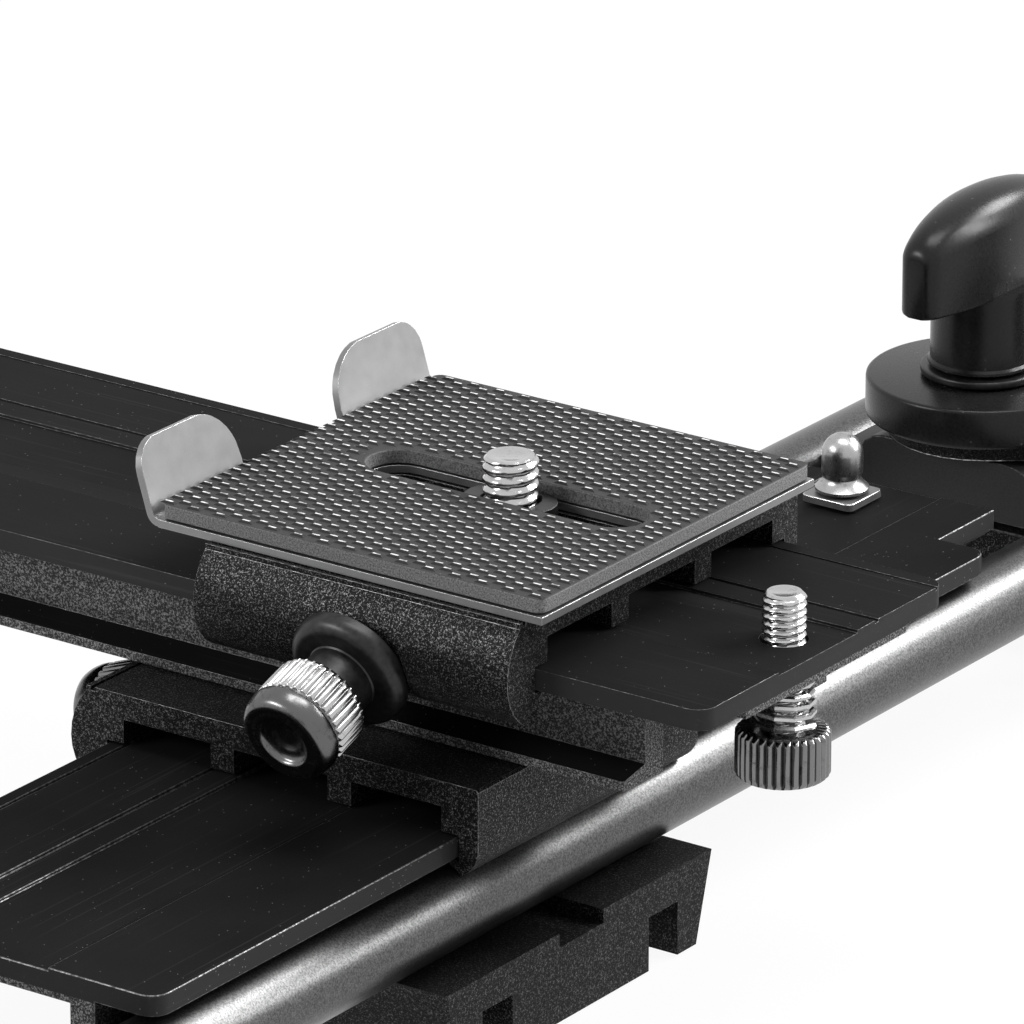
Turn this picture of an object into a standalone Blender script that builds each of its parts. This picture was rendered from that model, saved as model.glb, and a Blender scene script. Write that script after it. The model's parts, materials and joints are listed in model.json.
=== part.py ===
"""Macro flash bracket: two crossed quick-release rails on two round tubes, with a flash arm at each end.

X runs fore and aft (the camera's lens points to +X), Y runs along the tubes, Z is up.
The origin is the centre of the tripod face under the base block.
"""
import math

import bmesh
import bpy
from mathutils import Matrix, Vector
from mathutils.geometry import tessellate_polygon

MM = 0.001

# Fits
GAP = 0.3 * MM
GLUE_LINE = 0.15 * MM
BORE_CLEARANCE = 0.3 * MM
CUT_EXTRA = 2.0 * MM
ROUND_STEPS = 28
SMALL_STEPS = 16
HALF_TURN = 180

# Tubes
TUBE_RADIUS = 5.0 * MM
TUBE_WALL = 1.5 * MM
TUBE_SPREAD = 20.6 * MM
TUBE_PAST_CLAMP = 21.5 * MM
CAP_THICKNESS = 1.5 * MM
CAP_PLUG_LENGTH = 5.0 * MM

# Base block
BASE_HEIGHT = 10.3 * MM
BASE_HALF_LENGTH = 28.8 * MM
BASE_HALF_WIDTH = 24.75 * MM
BASE_SIDE_LEAN = 2.9 * MM
BASE_NOTCH_IN = 6.5 * MM
BASE_NOTCH_WIDTH = 5.5 * MM
BASE_NOTCH_ROOF = 4.0 * MM
BASE_CHANNEL_WIDTH = 8.2 * MM
BASE_CHANNEL_DEPTH = 1.6 * MM
TRIPOD_BORE = 3.2 * MM
WIDE_TRIPOD_BORE = 4.7 * MM
TRIPOD_BORE_AT = 12.0 * MM
TRIPOD_BORE_DEPTH = 7.0 * MM

# Rails, both cut from one extrusion
RAIL_HALF_WIDTH = 23.2 * MM
RAIL_PLATE = 2.4 * MM
RAIL_WEB = 3.3 * MM
RAIL_HEIGHT = 13.2 * MM
RAIL_WALL = 3.3 * MM
UPPER_FOOT_HALF_WIDTH = 19.3 * MM
RAIL_FOOT_ROOT = 1.9 * MM
RAIL_FOOT_TIP = 1.1 * MM
RAIL_FLOOR = 2.0 * MM
RAIL_LENGTH = 168.2 * MM
RAIL_WEB_OVERHANG = 12.7 * MM
RAIL_CORNER = 2.2 * MM
RECESS_NEAR = 9.2 * MM
RECESS_FAR = 5.8 * MM
RECESS_DEPTH = 0.35 * MM
GROOVE_AT = 9.2 * MM
GROOVE_WIDTH = 0.6 * MM
EDGE_GROOVE_IN = 2.2 * MM
EDGE_GROOVE_WIDTH = 0.4 * MM
TONGUE_HALF_WIDTH = 16.4 * MM
TONGUE_LENGTH = 11.8 * MM
LOWER_RAIL_START = -67.2 * MM
UPPER_RAIL_END = 51.8 * MM
UPPER_RAIL_CENTRE = 12.2 * MM

# Carriages, both cut from one extrusion
CARRIAGE_LENGTH = 41.2 * MM
CARRIAGE_HEIGHT = 6.0 * MM
CARRIAGE_CEILING = 3.1 * MM
SHOULDER = 2.0 * MM
JAW_HOOK = 1.2 * MM
JAW_HOOK_STEP = 0.3 * MM
KNOB_JAW_TOP = 3.0 * MM
KNOB_JAW_BULGE = 5.25 * MM
KNOB_JAW_MIDDLE = -0.3 * MM
KNOB_JAW_TIP = -5.7 * MM
KNOB_JAW_LOWER_RADIUS = 6.2 * MM
KNOB_JAW_LIP = 0.6 * MM
LIP_GROOVE = 0.5 * MM
PLAIN_JAW_OUT = 2.8 * MM
PLAIN_JAW_MIDDLE = -0.9 * MM
PLAIN_JAW_TIP = -4.2 * MM
PLAIN_JAW_RADIUS = 3.6 * MM
RIB_AT = 7.8 * MM
RIB_WIDTH = 3.1 * MM
LOWER_CARRIAGE_CENTRE = 5.5 * MM
QR_CARRIAGE_CENTRE = 10.0 * MM

# Lock screws and knobs
LOCK_TILT = math.radians(20)
LOCK_SEAT = 4.2 * MM
QR_FLANGE_RADIUS = 7.0 * MM
LOWER_FLANGE_RADIUS = 5.0 * MM
FLANGE_THICKNESS = 2.4 * MM
FLANGE_ROUND = 1.5 * MM
LOCK_NECK_RADIUS = 4.0 * MM
LOCK_NECK_LENGTH = 3.1 * MM
LOCK_KNOB_RADIUS = 5.6 * MM
LOCK_KNOB_LENGTH = 8.0 * MM
KNOB_BEZEL = 2.8 * MM
KNOB_DIMPLE_RADIUS = 3.15 * MM
KNOB_DIMPLE_DEPTH = 1.2 * MM
LOCK_SCREW_RADIUS = 2.0 * MM
KNOB_BORE_DEPTH = 5.0 * MM

# Screws
SCREW_CHAMFER = 0.5 * MM
M4 = 2.0 * MM
M3 = 1.5 * MM
M4_HEAD_RADIUS = 3.5 * MM
M3_HEAD_RADIUS = 2.6 * MM
RAIL_SCREW_HEAD = 3.6 * MM
RAIL_SCREW_AT = 8.6 * MM
RAIL_SCREW_REACH = 1.6 * MM
CARRIAGE_SCREW_HEAD = 2.0 * MM
CARRIAGE_SCREW_AT = 14.5 * MM
TUBE_SCREW_HEAD = 2.4 * MM
TUBE_SCREW_REACH = 3.0 * MM

# End stop on the lower rail
STOP_FROM_END = 7.2 * MM
STOP_WASHER = 7.0 * MM
STOP_WASHER_CORNER = 0.8 * MM
STOP_WASHER_THICKNESS = 1.0 * MM
STOP_NUT_RADIUS = 2.45 * MM
STOP_NUT_FLANGE = 0.75 * MM
STOP_NUT_FLANGE_HEIGHT = 0.4 * MM
STOP_NUT_NECK = 0.3 * MM
STOP_NUT_NECK_HEIGHT = 1.6 * MM
STOP_NUT_NOSE = 2.4 * MM
STOP_NUT_HEIGHT = 6.9 * MM
STOP_BOLT_HEAD = 2.0 * MM

# Captive screw at the end of the upper rail
CAPTIVE_FROM_END = 5.5 * MM
CAPTIVE_RADIUS = 2.4 * MM
CAPTIVE_ABOVE = 5.0 * MM
CAPTIVE_BELOW = 7.0 * MM
CAPTIVE_HEAD_RADIUS = 5.2 * MM
CAPTIVE_HEAD = 5.7 * MM
SPRING_TURNS = 5
SPRING_WIRE = 0.35 * MM
SPRING_TOP_RADIUS = 2.95 * MM
SPRING_FOOT_RADIUS = 3.35 * MM
POINTS_A_CURL = 10

# Quick-release plate
PLATE_CENTRE_X = 7.8 * MM
PLATE_HALF_X = 25.2 * MM
PLATE_HALF_Y = 25.6 * MM
STEEL = 0.9 * MM
PAD = 1.7 * MM
PAD_INSET = 0.2 * MM
PAD_CORNER = 1.2 * MM
SLOT_HALF_WIDTH = 3.7 * MM
SLOT_HALF_LENGTH = 18.0 * MM
SLOT_CENTRE_X = 10.3 * MM
EAR_HALF_WIDTH = 8.2 * MM
EAR_AT = 17.3 * MM
EAR_HEIGHT = 8.4 * MM
EAR_BEND = 1.2 * MM
EAR_LEAN = math.radians(73)
EAR_OUTER_ROUND = 3.6 * MM
EAR_INNER_ROUND = 6.3 * MM
EAR_ROUND_STEPS = 5
RIVET_AT = 16.0 * MM
RIVET_HEAD = 0.65 * MM
RIVET_FOOT = 1.0 * MM

# Camera screw
CAMERA_SCREW_RADIUS = 3.1 * MM
CAMERA_SCREW_ABOVE = 3.9 * MM
CAMERA_SCREW_HEAD_RADIUS = 5.0 * MM
CAMERA_SCREW_HEAD = 2.0 * MM
CAMERA_SCREW_AT = 10.8 * MM
SLIDER_LENGTH = 11.0 * MM
SLIDER_THICKNESS = 1.5 * MM

# Tube clamps at both ends
RAIL_TO_DISC = 8.85 * MM
CLAMP_HALF_LENGTH = 7.8 * MM
CLAMP_HEIGHT = 7.9 * MM
CLAMP_HALF_WIDTH = 12.3 * MM
CLAMP_LIP = 17.2 * MM
CLAMP_LIP_EDGE = 0.3 * MM
CLAMP_CORNER = 3.5 * MM
SADDLE_BOTTOM = 4.3 * MM
SADDLE_BEVEL = 1.5 * MM
SADDLE_HALF_WIDTH = 28.8 * MM
CLAMP_SPLIT = 0.4 * MM
CLAMP_BOLT_RADIUS = 3.0 * MM
DISC_RADIUS = 13.65 * MM
DISC_THICKNESS = 4.9 * MM
DISC_CHAMFER = 0.5 * MM

# Flash arms
ARM_HALF_WIDTH = 11.0 * MM
ARM_THICKNESS = 2.0 * MM
ARM_LENGTH = 78.0 * MM
ARM_TOE_OUT = math.radians(35)

# T-shaped knobs
COLLAR_RADIUS = 7.2 * MM
COLLAR_THICKNESS = 0.9 * MM
STEM_RADIUS = 6.1 * MM
STEM_HEIGHT = 9.4 * MM
STEM_FLARE = 0.3 * MM
STEM_SUNK = 2.5 * MM
WING_HALF_LENGTH = 14.7 * MM
WING_SIDE_HEIGHT = 9.0 * MM
WING_END_SIDE_HEIGHT = 6.3 * MM
WING_DOME = 3.5 * MM
WING_END_DOME = 0.8 * MM
WING_HALF_WIDTH = 4.6 * MM
WING_END_HALF_WIDTH = 2.2 * MM
WING_END_ROUND = 1.4 * MM
WING_STATIONS = 14

# Shoe hinge and cold shoe
HINGE_HEIGHT = 14.2 * MM
HINGE_RADIUS = 7.0 * MM
FORK_HALF_WIDTH = 9.0 * MM
FORK_CHEEK = 3.0 * MM
FORK_BASE = 4.0 * MM
FORK_SCREW_HEAD = 2.0 * MM
FORK_TAP_ROOF = 1.0 * MM
TONGUE_RADIUS = 6.5 * MM
SHOE_ABOVE_HINGE = 8.0 * MM
SHOE_HALF_LENGTH = 10.5 * MM
SHOE_HALF_WIDTH = 11.2 * MM
SHOE_FLOOR = 2.5 * MM
SHOE_SLOT_HALF_WIDTH = 9.4 * MM
SHOE_SLOT_HEIGHT = 2.3 * MM
SHOE_MOUTH_HALF_WIDTH = 6.3 * MM
SHOE_LIP = 1.5 * MM
TILT_HEAD_RADIUS = 6.0 * MM
TILT_HEAD = 6.0 * MM
TILT_NUT_RADIUS = 3.9 * MM
TILT_NUT = 3.0 * MM
NUT_SIDES = 6

# Levels that follow from the sizes above
TUBE_AXIS = BASE_HEIGHT + TUBE_RADIUS
LOWER_RAIL_BOTTOM = BASE_HEIGHT + GAP
RAIL_WALL_OUTER = TUBE_SPREAD - TUBE_RADIUS - GAP
FOOT_BELOW_TUBE = TUBE_AXIS - LOWER_RAIL_BOTTOM - RAIL_FOOT_ROOT
LOWER_FOOT_HALF_WIDTH = TUBE_SPREAD - math.sqrt((TUBE_RADIUS + GAP) ** 2 - FOOT_BELOW_TUBE ** 2)
LOWER_RAIL_TOP = LOWER_RAIL_BOTTOM + RAIL_HEIGHT
LOWER_RAIL_END = LOWER_RAIL_START + RAIL_LENGTH
LOWER_CARRIAGE_TOP = LOWER_RAIL_TOP + CARRIAGE_HEIGHT
UPPER_RAIL_BOTTOM = LOWER_CARRIAGE_TOP + GAP
UPPER_RAIL_TOP = UPPER_RAIL_BOTTOM + RAIL_HEIGHT
UPPER_RAIL_START = UPPER_RAIL_END - RAIL_LENGTH
QR_CARRIAGE_TOP = UPPER_RAIL_TOP + CARRIAGE_HEIGHT
STEEL_BOTTOM = QR_CARRIAGE_TOP + GLUE_LINE
STEEL_TOP = STEEL_BOTTOM + STEEL
PAD_BOTTOM = STEEL_TOP + GLUE_LINE
PAD_TOP = PAD_BOTTOM + PAD
STOP_AT = LOWER_RAIL_END - STOP_FROM_END
CAPTIVE_AT = UPPER_RAIL_END - CAPTIVE_FROM_END
CAPTIVE_HEAD_TOP = UPPER_RAIL_TOP - RAIL_WEB - CAPTIVE_BELOW
CLAMP_AT = LOWER_RAIL_END + RAIL_TO_DISC + DISC_RADIUS
TUBE_HALF_LENGTH = CLAMP_AT + TUBE_PAST_CLAMP
CLAMP_TOP = TUBE_AXIS + CLAMP_HEIGHT
ARM_BOTTOM = CLAMP_TOP + GAP
ARM_TOP = ARM_BOTTOM + ARM_THICKNESS
DISC_BOTTOM = ARM_TOP + GAP
COLLAR_BOTTOM = DISC_BOTTOM + DISC_THICKNESS + GAP
STEM_BOTTOM = COLLAR_BOTTOM + COLLAR_THICKNESS + GAP
WING_BOTTOM = STEM_BOTTOM + STEM_HEIGHT
FORK_BOTTOM = ARM_TOP + GAP
HINGE_AXIS = ARM_TOP + HINGE_HEIGHT
SHOE_BOTTOM = HINGE_AXIS + SHOE_ABOVE_HINGE


for old in list(bpy.data.objects):
    bpy.data.objects.remove(old, do_unlink=True)


def make_material(name, colour, roughness, metallic):
    """A plain surface: its colour, roughness and metallic value."""
    material = bpy.data.materials.new(name)
    material.use_nodes = True
    shader = material.node_tree.nodes["Principled BSDF"]
    shader.inputs["Base Color"].default_value = (*colour, 1)
    shader.inputs["Roughness"].default_value = roughness
    shader.inputs["Metallic"].default_value = metallic
    return material


BLACK_ANODISED = make_material("black anodised aluminium", (0.022, 0.022, 0.023), 0.42, 0.6)
BLASTED_BLACK = make_material("bead blasted black aluminium", (0.035, 0.035, 0.036), 0.55, 0.7)
GREY_ANODISED = make_material("grey anodised tube", (0.13, 0.13, 0.132), 0.36, 0.9)
CHROME = make_material("chrome plate", (0.72, 0.72, 0.72), 0.12, 1.0)
STEEL_SHEET = make_material("brushed steel sheet", (0.45, 0.45, 0.45), 0.4, 1.0)
SPRING_STEEL = make_material("spring steel", (0.4, 0.4, 0.4), 0.3, 1.0)
BLACK_OXIDE = make_material("black oxide steel", (0.03, 0.03, 0.03), 0.35, 0.8)
RUBBER = make_material("black rubber", (0.02, 0.02, 0.02), 0.8, 0.0)
BLACK_PLASTIC = make_material("satin black plastic", (0.025, 0.025, 0.025), 0.35, 0.0)


def joint_frame(name, place, above=None):
    """An empty that stands on a joint's axis, in the chain of what carries it."""
    empty = bpy.data.objects.new(name, None)
    empty.empty_display_size = 0.01
    bpy.context.collection.objects.link(empty)
    home = Vector(place)
    if above is not None:
        empty.parent = above
        empty.location = home - Vector(above["home"])
    else:
        empty.location = home
    empty["home"] = tuple(home)
    return empty


def add_piece(name, shape, material, frame):
    """Make an object of a shape given in world places, with its origin on its joint frame."""
    bmesh.ops.recalc_face_normals(shape, faces=shape.faces)
    bmesh.ops.translate(shape, verts=shape.verts, vec=-Vector(frame["home"]))
    mesh = bpy.data.meshes.new(name)
    shape.to_mesh(mesh)
    shape.free()
    if material is not None:
        mesh.materials.append(material)
        mesh.shade_smooth()
        mesh.set_sharp_from_angle(angle=math.radians(32))
    piece = bpy.data.objects.new(name, mesh)
    piece.parent = frame
    bpy.context.collection.objects.link(piece)
    return piece


def carve(piece, label, shape, operation="DIFFERENCE"):
    """Cut a shape out of a piece, or join or intersect it, with a Boolean that stays live."""
    tool = add_piece(piece.name + "_" + label, shape, None, piece.parent)
    tool.hide_render = True
    tool.display_type = "WIRE"
    step = piece.modifiers.new(label, "BOOLEAN")
    step.operation = operation
    step.solver = "EXACT"
    step.object = tool


def prism(outline, axis, start, end, holes=()):
    """Extrude a closed outline, with holes if it has any, along X, Y or Z."""
    shape = bmesh.new()
    loops = [list(outline)] + [list(hole) for hole in holes]

    def point(u, w, along):
        if axis == "X":
            return Vector((along, u, w))
        if axis == "Y":
            return Vector((u, along, w))
        return Vector((u, w, along))

    first = [[shape.verts.new(point(u, w, start)) for u, w in loop] for loop in loops]
    last = [[shape.verts.new(point(u, w, end)) for u, w in loop] for loop in loops]
    flat = [[Vector((u, w, 0)) for u, w in loop] for loop in loops]
    for side in (first, last):
        if not holes:
            shape.faces.new(side[0])
            continue
        corners = [vert for loop in side for vert in loop]
        for triangle in tessellate_polygon(flat):
            shape.faces.new([corners[index] for index in triangle])
    for near, far in zip(first, last):
        count = len(near)
        for index in range(count):
            following = (index + 1) % count
            shape.faces.new((near[index], near[following], far[following], far[index]))
    return shape


def box(low, high):
    """A box between two corners."""
    outline = [(low[0], low[1]), (high[0], low[1]), (high[0], high[1]), (low[0], high[1])]
    return prism(outline, "Z", low[2], high[2])


def turned(profile, steps=ROUND_STEPS):
    """Turn a profile of (radius, height) points about Z; a profile off the axis closes on itself."""
    shape = bmesh.new()
    on_axis = profile[0][0] == 0
    rings = []
    for radius, height in profile:
        if radius == 0:
            rings.append([shape.verts.new((0, 0, height))])
            continue
        ring = []
        for step in range(steps):
            angle = 2 * math.pi * (step + 0.5) / steps
            ring.append(shape.verts.new((radius * math.cos(angle), radius * math.sin(angle), height)))
        rings.append(ring)
    pairs = list(zip(rings, rings[1:]))
    if not on_axis:
        pairs.append((rings[-1], rings[0]))
    for lower, upper in pairs:
        for step in range(steps):
            following = (step + 1) % steps
            if len(lower) == 1:
                shape.faces.new((lower[0], upper[following], upper[step]))
            elif len(upper) == 1:
                shape.faces.new((lower[step], lower[following], upper[0]))
            else:
                shape.faces.new((lower[step], lower[following], upper[following], upper[step]))
    return shape


def rod(radius, start, end, steps=SMALL_STEPS, chamfer=0.0):
    """A round bar along Z, with a chamfer at its far end if wanted."""
    if chamfer > 0:
        profile = [(0, start), (radius, start), (radius, end - chamfer), (radius - chamfer, end), (0, end)]
    else:
        profile = [(0, start), (radius, start), (radius, end), (0, end)]
    return turned(profile, steps)


def ring(inner, outer, start, end, steps=ROUND_STEPS):
    """A flat ring or a tube along Z."""
    return turned([(inner, start), (outer, start), (outer, end), (inner, end)], steps)


def headed(shank, shank_end, head, head_start, head_end, steps=SMALL_STEPS):
    """A screw with its head at the bottom and its shank going up."""
    return turned([(0, head_start), (head, head_start), (head, head_end), (shank, head_end),
                   (shank, shank_end), (0, shank_end)], steps)


def moved(shape, matrix):
    """Carry a shape to its place."""
    bmesh.ops.transform(shape, matrix=matrix, verts=shape.verts)
    return shape


def at(x, y, z=0.0):
    return Matrix.Translation((x, y, z))


ALONG_Y = Matrix.Rotation(math.radians(-90), 4, "X")


def arc(centre, radius, start, end, steps):
    """Points of an arc, both ends included, angles in degrees."""
    points = []
    for step in range(steps + 1):
        angle = math.radians(start + (end - start) * step / steps)
        points.append((centre[0] + radius * math.cos(angle), centre[1] + radius * math.sin(angle)))
    return points


def circle(centre, radius, steps):
    """Points of a whole circle, the first not repeated."""
    return arc(centre, radius, 0, 2 * HALF_TURN, steps)[:-1]


def stadium(centre, half_length, half_width, steps=10):
    """A slot outline along the first coordinate."""
    reach = half_length - half_width
    right = arc((centre[0] + reach, centre[1]), half_width, -90, 90, steps)
    left = arc((centre[0] - reach, centre[1]), half_width, 90, 270, steps)
    return right + left


def rounded_box(low, high, radius, steps=4):
    """A rectangle outline with rounded corners."""
    return (arc((high[0] - radius, low[1] + radius), radius, -90, 0, steps)
            + arc((high[0] - radius, high[1] - radius), radius, 0, 90, steps)
            + arc((low[0] + radius, high[1] - radius), radius, 90, 180, steps)
            + arc((low[0] + radius, low[1] + radius), radius, 180, 270, steps))


# Joint frames, each on its axis, in the order in which they carry each other
BRACKET = joint_frame("bracket", (0, 0, 0))
LOWER_STAGE = joint_frame("lower_stage", (0, LOWER_CARRIAGE_CENTRE, LOWER_RAIL_TOP), BRACKET)
QR_STAGE = joint_frame("qr_stage", (QR_CARRIAGE_CENTRE, UPPER_RAIL_CENTRE, UPPER_RAIL_TOP), LOWER_STAGE)

RAIL_EDGE_MIDDLE = RAIL_PLATE / 2
LOWER_LOCK_HOME = (-RAIL_HALF_WIDTH, LOWER_CARRIAGE_CENTRE, LOWER_RAIL_TOP - RAIL_EDGE_MIDDLE)
QR_LOCK_HOME = (QR_CARRIAGE_CENTRE, UPPER_RAIL_CENTRE - RAIL_HALF_WIDTH, UPPER_RAIL_TOP - RAIL_EDGE_MIDDLE)
LOWER_LOCK = joint_frame("lower_lock", LOWER_LOCK_HOME, LOWER_STAGE)
QR_LOCK = joint_frame("qr_lock", QR_LOCK_HOME, QR_STAGE)
SCREW_SLIDE = joint_frame("screw_slide", (CAMERA_SCREW_AT, UPPER_RAIL_CENTRE, PAD_TOP), QR_STAGE)
CAMERA_SCREW = joint_frame("camera_screw_axis", (CAMERA_SCREW_AT, UPPER_RAIL_CENTRE, PAD_TOP), SCREW_SLIDE)
CAPTIVE = joint_frame("captive_axis", (CAPTIVE_AT, UPPER_RAIL_CENTRE, CAPTIVE_HEAD_TOP), LOWER_STAGE)


def rail_section(near_sign, foot):
    """The rail's outline and its hollow, heights from its underside; its wide recess is at near_sign."""
    plate_bottom = RAIL_HEIGHT - RAIL_PLATE
    low = RAIL_HEIGHT - RECESS_DEPTH
    slope = (RAIL_FOOT_ROOT - RAIL_FOOT_TIP) / (UPPER_FOOT_HALF_WIDTH - RAIL_WALL_OUTER)
    tip = RAIL_FOOT_ROOT - slope * (foot - RAIL_WALL_OUTER)
    half = [(foot, 0), (foot, tip), (RAIL_WALL_OUTER, RAIL_FOOT_ROOT), (RAIL_WALL_OUTER, plate_bottom),
            (RAIL_HALF_WIDTH, plate_bottom), (RAIL_HALF_WIDTH, RAIL_HEIGHT)]
    edge_groove = EDGE_GROOVE_IN - RAIL_HALF_WIDTH
    top = [(RECESS_NEAR, RAIL_HEIGHT), (RECESS_NEAR, low), (-RECESS_FAR, low), (-RECESS_FAR, RAIL_HEIGHT),
           (-GROOVE_AT, RAIL_HEIGHT), (-GROOVE_AT, low), (-GROOVE_AT - GROOVE_WIDTH, low),
           (-GROOVE_AT - GROOVE_WIDTH, RAIL_HEIGHT), (edge_groove, RAIL_HEIGHT), (edge_groove, low),
           (edge_groove - EDGE_GROOVE_WIDTH, low), (edge_groove - EDGE_GROOVE_WIDTH, RAIL_HEIGHT)]
    outline = half + top + [(-u, w) for u, w in reversed(half)]
    inner = RAIL_WALL_OUTER - RAIL_WALL
    web_bottom = RAIL_HEIGHT - RAIL_WEB
    hollow = [(inner, RAIL_FLOOR), (inner, web_bottom), (-inner, web_bottom), (-inner, RAIL_FLOOR)]
    return [(near_sign * u, w) for u, w in outline], [(near_sign * u, w) for u, w in hollow]


def lifted(points, sideways, height):
    return [(u + sideways, w + height) for u, w in points]


def build_base():
    """The base block, its tripod bore, its tube seats and the holes of its screws."""
    half = BASE_HALF_WIDTH
    roof = BASE_HEIGHT - BASE_NOTCH_ROOF
    notch_out = half - BASE_NOTCH_IN
    notch_in = notch_out - BASE_NOTCH_WIDTH
    channel = BASE_CHANNEL_WIDTH / 2
    right = [(notch_in, 0), (notch_in, roof), (notch_out, roof), (notch_out, 0), (half - BASE_SIDE_LEAN, 0),
             (half, BASE_HEIGHT), (channel, BASE_HEIGHT), (channel, BASE_HEIGHT - BASE_CHANNEL_DEPTH)]
    outline = right + [(-u, w) for u, w in reversed(right)]
    block = add_piece("base_block", prism(outline, "X", -BASE_HALF_LENGTH, BASE_HALF_LENGTH), BLACK_ANODISED,
                      BRACKET)
    reach = BASE_HALF_WIDTH + CUT_EXTRA
    for label, side in (("front_seat", 1), ("rear_seat", -1)):
        seat = moved(rod(TUBE_RADIUS + GAP, -reach, reach, ROUND_STEPS), ALONG_Y)
        carve(block, label, moved(seat, at(side * TUBE_SPREAD, 0, TUBE_AXIS)))
    for label, radius, x in (("tripod_bore", TRIPOD_BORE, TRIPOD_BORE_AT),
                             ("wide_tripod_bore", WIDE_TRIPOD_BORE, -TRIPOD_BORE_AT)):
        carve(block, label, moved(rod(radius, -CUT_EXTRA, TRIPOD_BORE_DEPTH), at(x, 0)))
    screw_line = notch_in + BASE_NOTCH_WIDTH / 2
    for number, (side, end) in enumerate([(1, 1), (1, -1), (-1, 1), (-1, -1)], 1):
        x, y = side * TUBE_SPREAD, end * screw_line
        hole = rod(M3 + BORE_CLEARANCE, roof - CUT_EXTRA, BASE_HEIGHT + CUT_EXTRA)
        carve(block, "tube_screw_hole_%d" % number, moved(hole, at(x, y)))
        head_top = roof - GAP
        screw = headed(M3, TUBE_AXIS - TUBE_RADIUS + TUBE_SCREW_REACH, M3_HEAD_RADIUS,
                       head_top - TUBE_SCREW_HEAD, head_top)
        add_piece("tube_screw_%d" % number, moved(screw, at(x, y)), BLACK_OXIDE, BRACKET)
    for number, end in enumerate([1, -1], 1):
        spot = at(0, end * RAIL_SCREW_AT)
        pocket = RAIL_SCREW_HEAD + 2 * GAP
        wide, slim, top = M4_HEAD_RADIUS + BORE_CLEARANCE, M4 + BORE_CLEARANCE, BASE_HEIGHT + CUT_EXTRA
        profile = [(0, -CUT_EXTRA), (wide, -CUT_EXTRA), (wide, pocket), (slim, pocket), (slim, top), (0, top)]
        hole = turned(profile, SMALL_STEPS)
        carve(block, "rail_screw_hole_%d" % number, moved(hole, spot))
        screw = headed(M4, LOWER_RAIL_BOTTOM + RAIL_SCREW_REACH, M4_HEAD_RADIUS, GAP, GAP + RAIL_SCREW_HEAD)
        add_piece("lower_rail_screw_%d" % number, moved(screw, spot), BLACK_OXIDE, BRACKET)


def build_tubes():
    """The two round tubes and the plugs in their ends."""
    inner = TUBE_RADIUS - TUBE_WALL
    notch_middle = BASE_HALF_WIDTH - BASE_NOTCH_IN - BASE_NOTCH_WIDTH / 2
    for name, side in (("front", 1), ("rear", -1)):
        x = side * TUBE_SPREAD
        barrel = moved(ring(inner, TUBE_RADIUS, -TUBE_HALF_LENGTH, TUBE_HALF_LENGTH), ALONG_Y)
        tube = add_piece(name + "_tube", moved(barrel, at(x, 0, TUBE_AXIS)), GREY_ANODISED, BRACKET)
        for label, end in (("right", 1), ("left", -1)):
            hole = rod(M3 + BORE_CLEARANCE, TUBE_AXIS - TUBE_RADIUS - CUT_EXTRA, TUBE_AXIS)
            carve(tube, label + "_hole", moved(hole, at(x, end * notch_middle)))
            plug = turned([(0, -CAP_PLUG_LENGTH), (inner - GAP, -CAP_PLUG_LENGTH), (inner - GAP, GAP),
                           (TUBE_RADIUS, GAP), (TUBE_RADIUS, GAP + CAP_THICKNESS), (0, GAP + CAP_THICKNESS)])
            turn = ALONG_Y if end > 0 else Matrix.Rotation(math.radians(90), 4, "X")
            place = at(x, end * TUBE_HALF_LENGTH, TUBE_AXIS)
            add_piece("%s_tube_cap_%s" % (name, label), moved(plug, place @ turn), BLACK_PLASTIC, BRACKET)


def rail_body_cuts(rail, axis, start, end, bottom, centre, floor_reach):
    """Take the walls away under the web's far end, and the floor away past what carries the rail."""
    side = UPPER_FOOT_HALF_WIDTH + CUT_EXTRA
    inner = RAIL_WALL_OUTER - RAIL_WALL
    web_bottom = bottom + RAIL_HEIGHT - RAIL_WEB
    floor_top = bottom + RAIL_FLOOR + CUT_EXTRA
    for label, near, far, half, top in (
            ("end_walls", end - RAIL_WEB_OVERHANG, end + CUT_EXTRA, side, web_bottom),
            ("start_floor", start - CUT_EXTRA, -floor_reach, inner, floor_top),
            ("end_floor", floor_reach, end, inner, floor_top)):
        low, high = (centre - half, near), (centre + half, far)
        if axis == "X":
            low, high = (near, centre - half), (far, centre + half)
        carve(rail, label, box((*low, bottom - CUT_EXTRA), (*high, top)))


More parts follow.
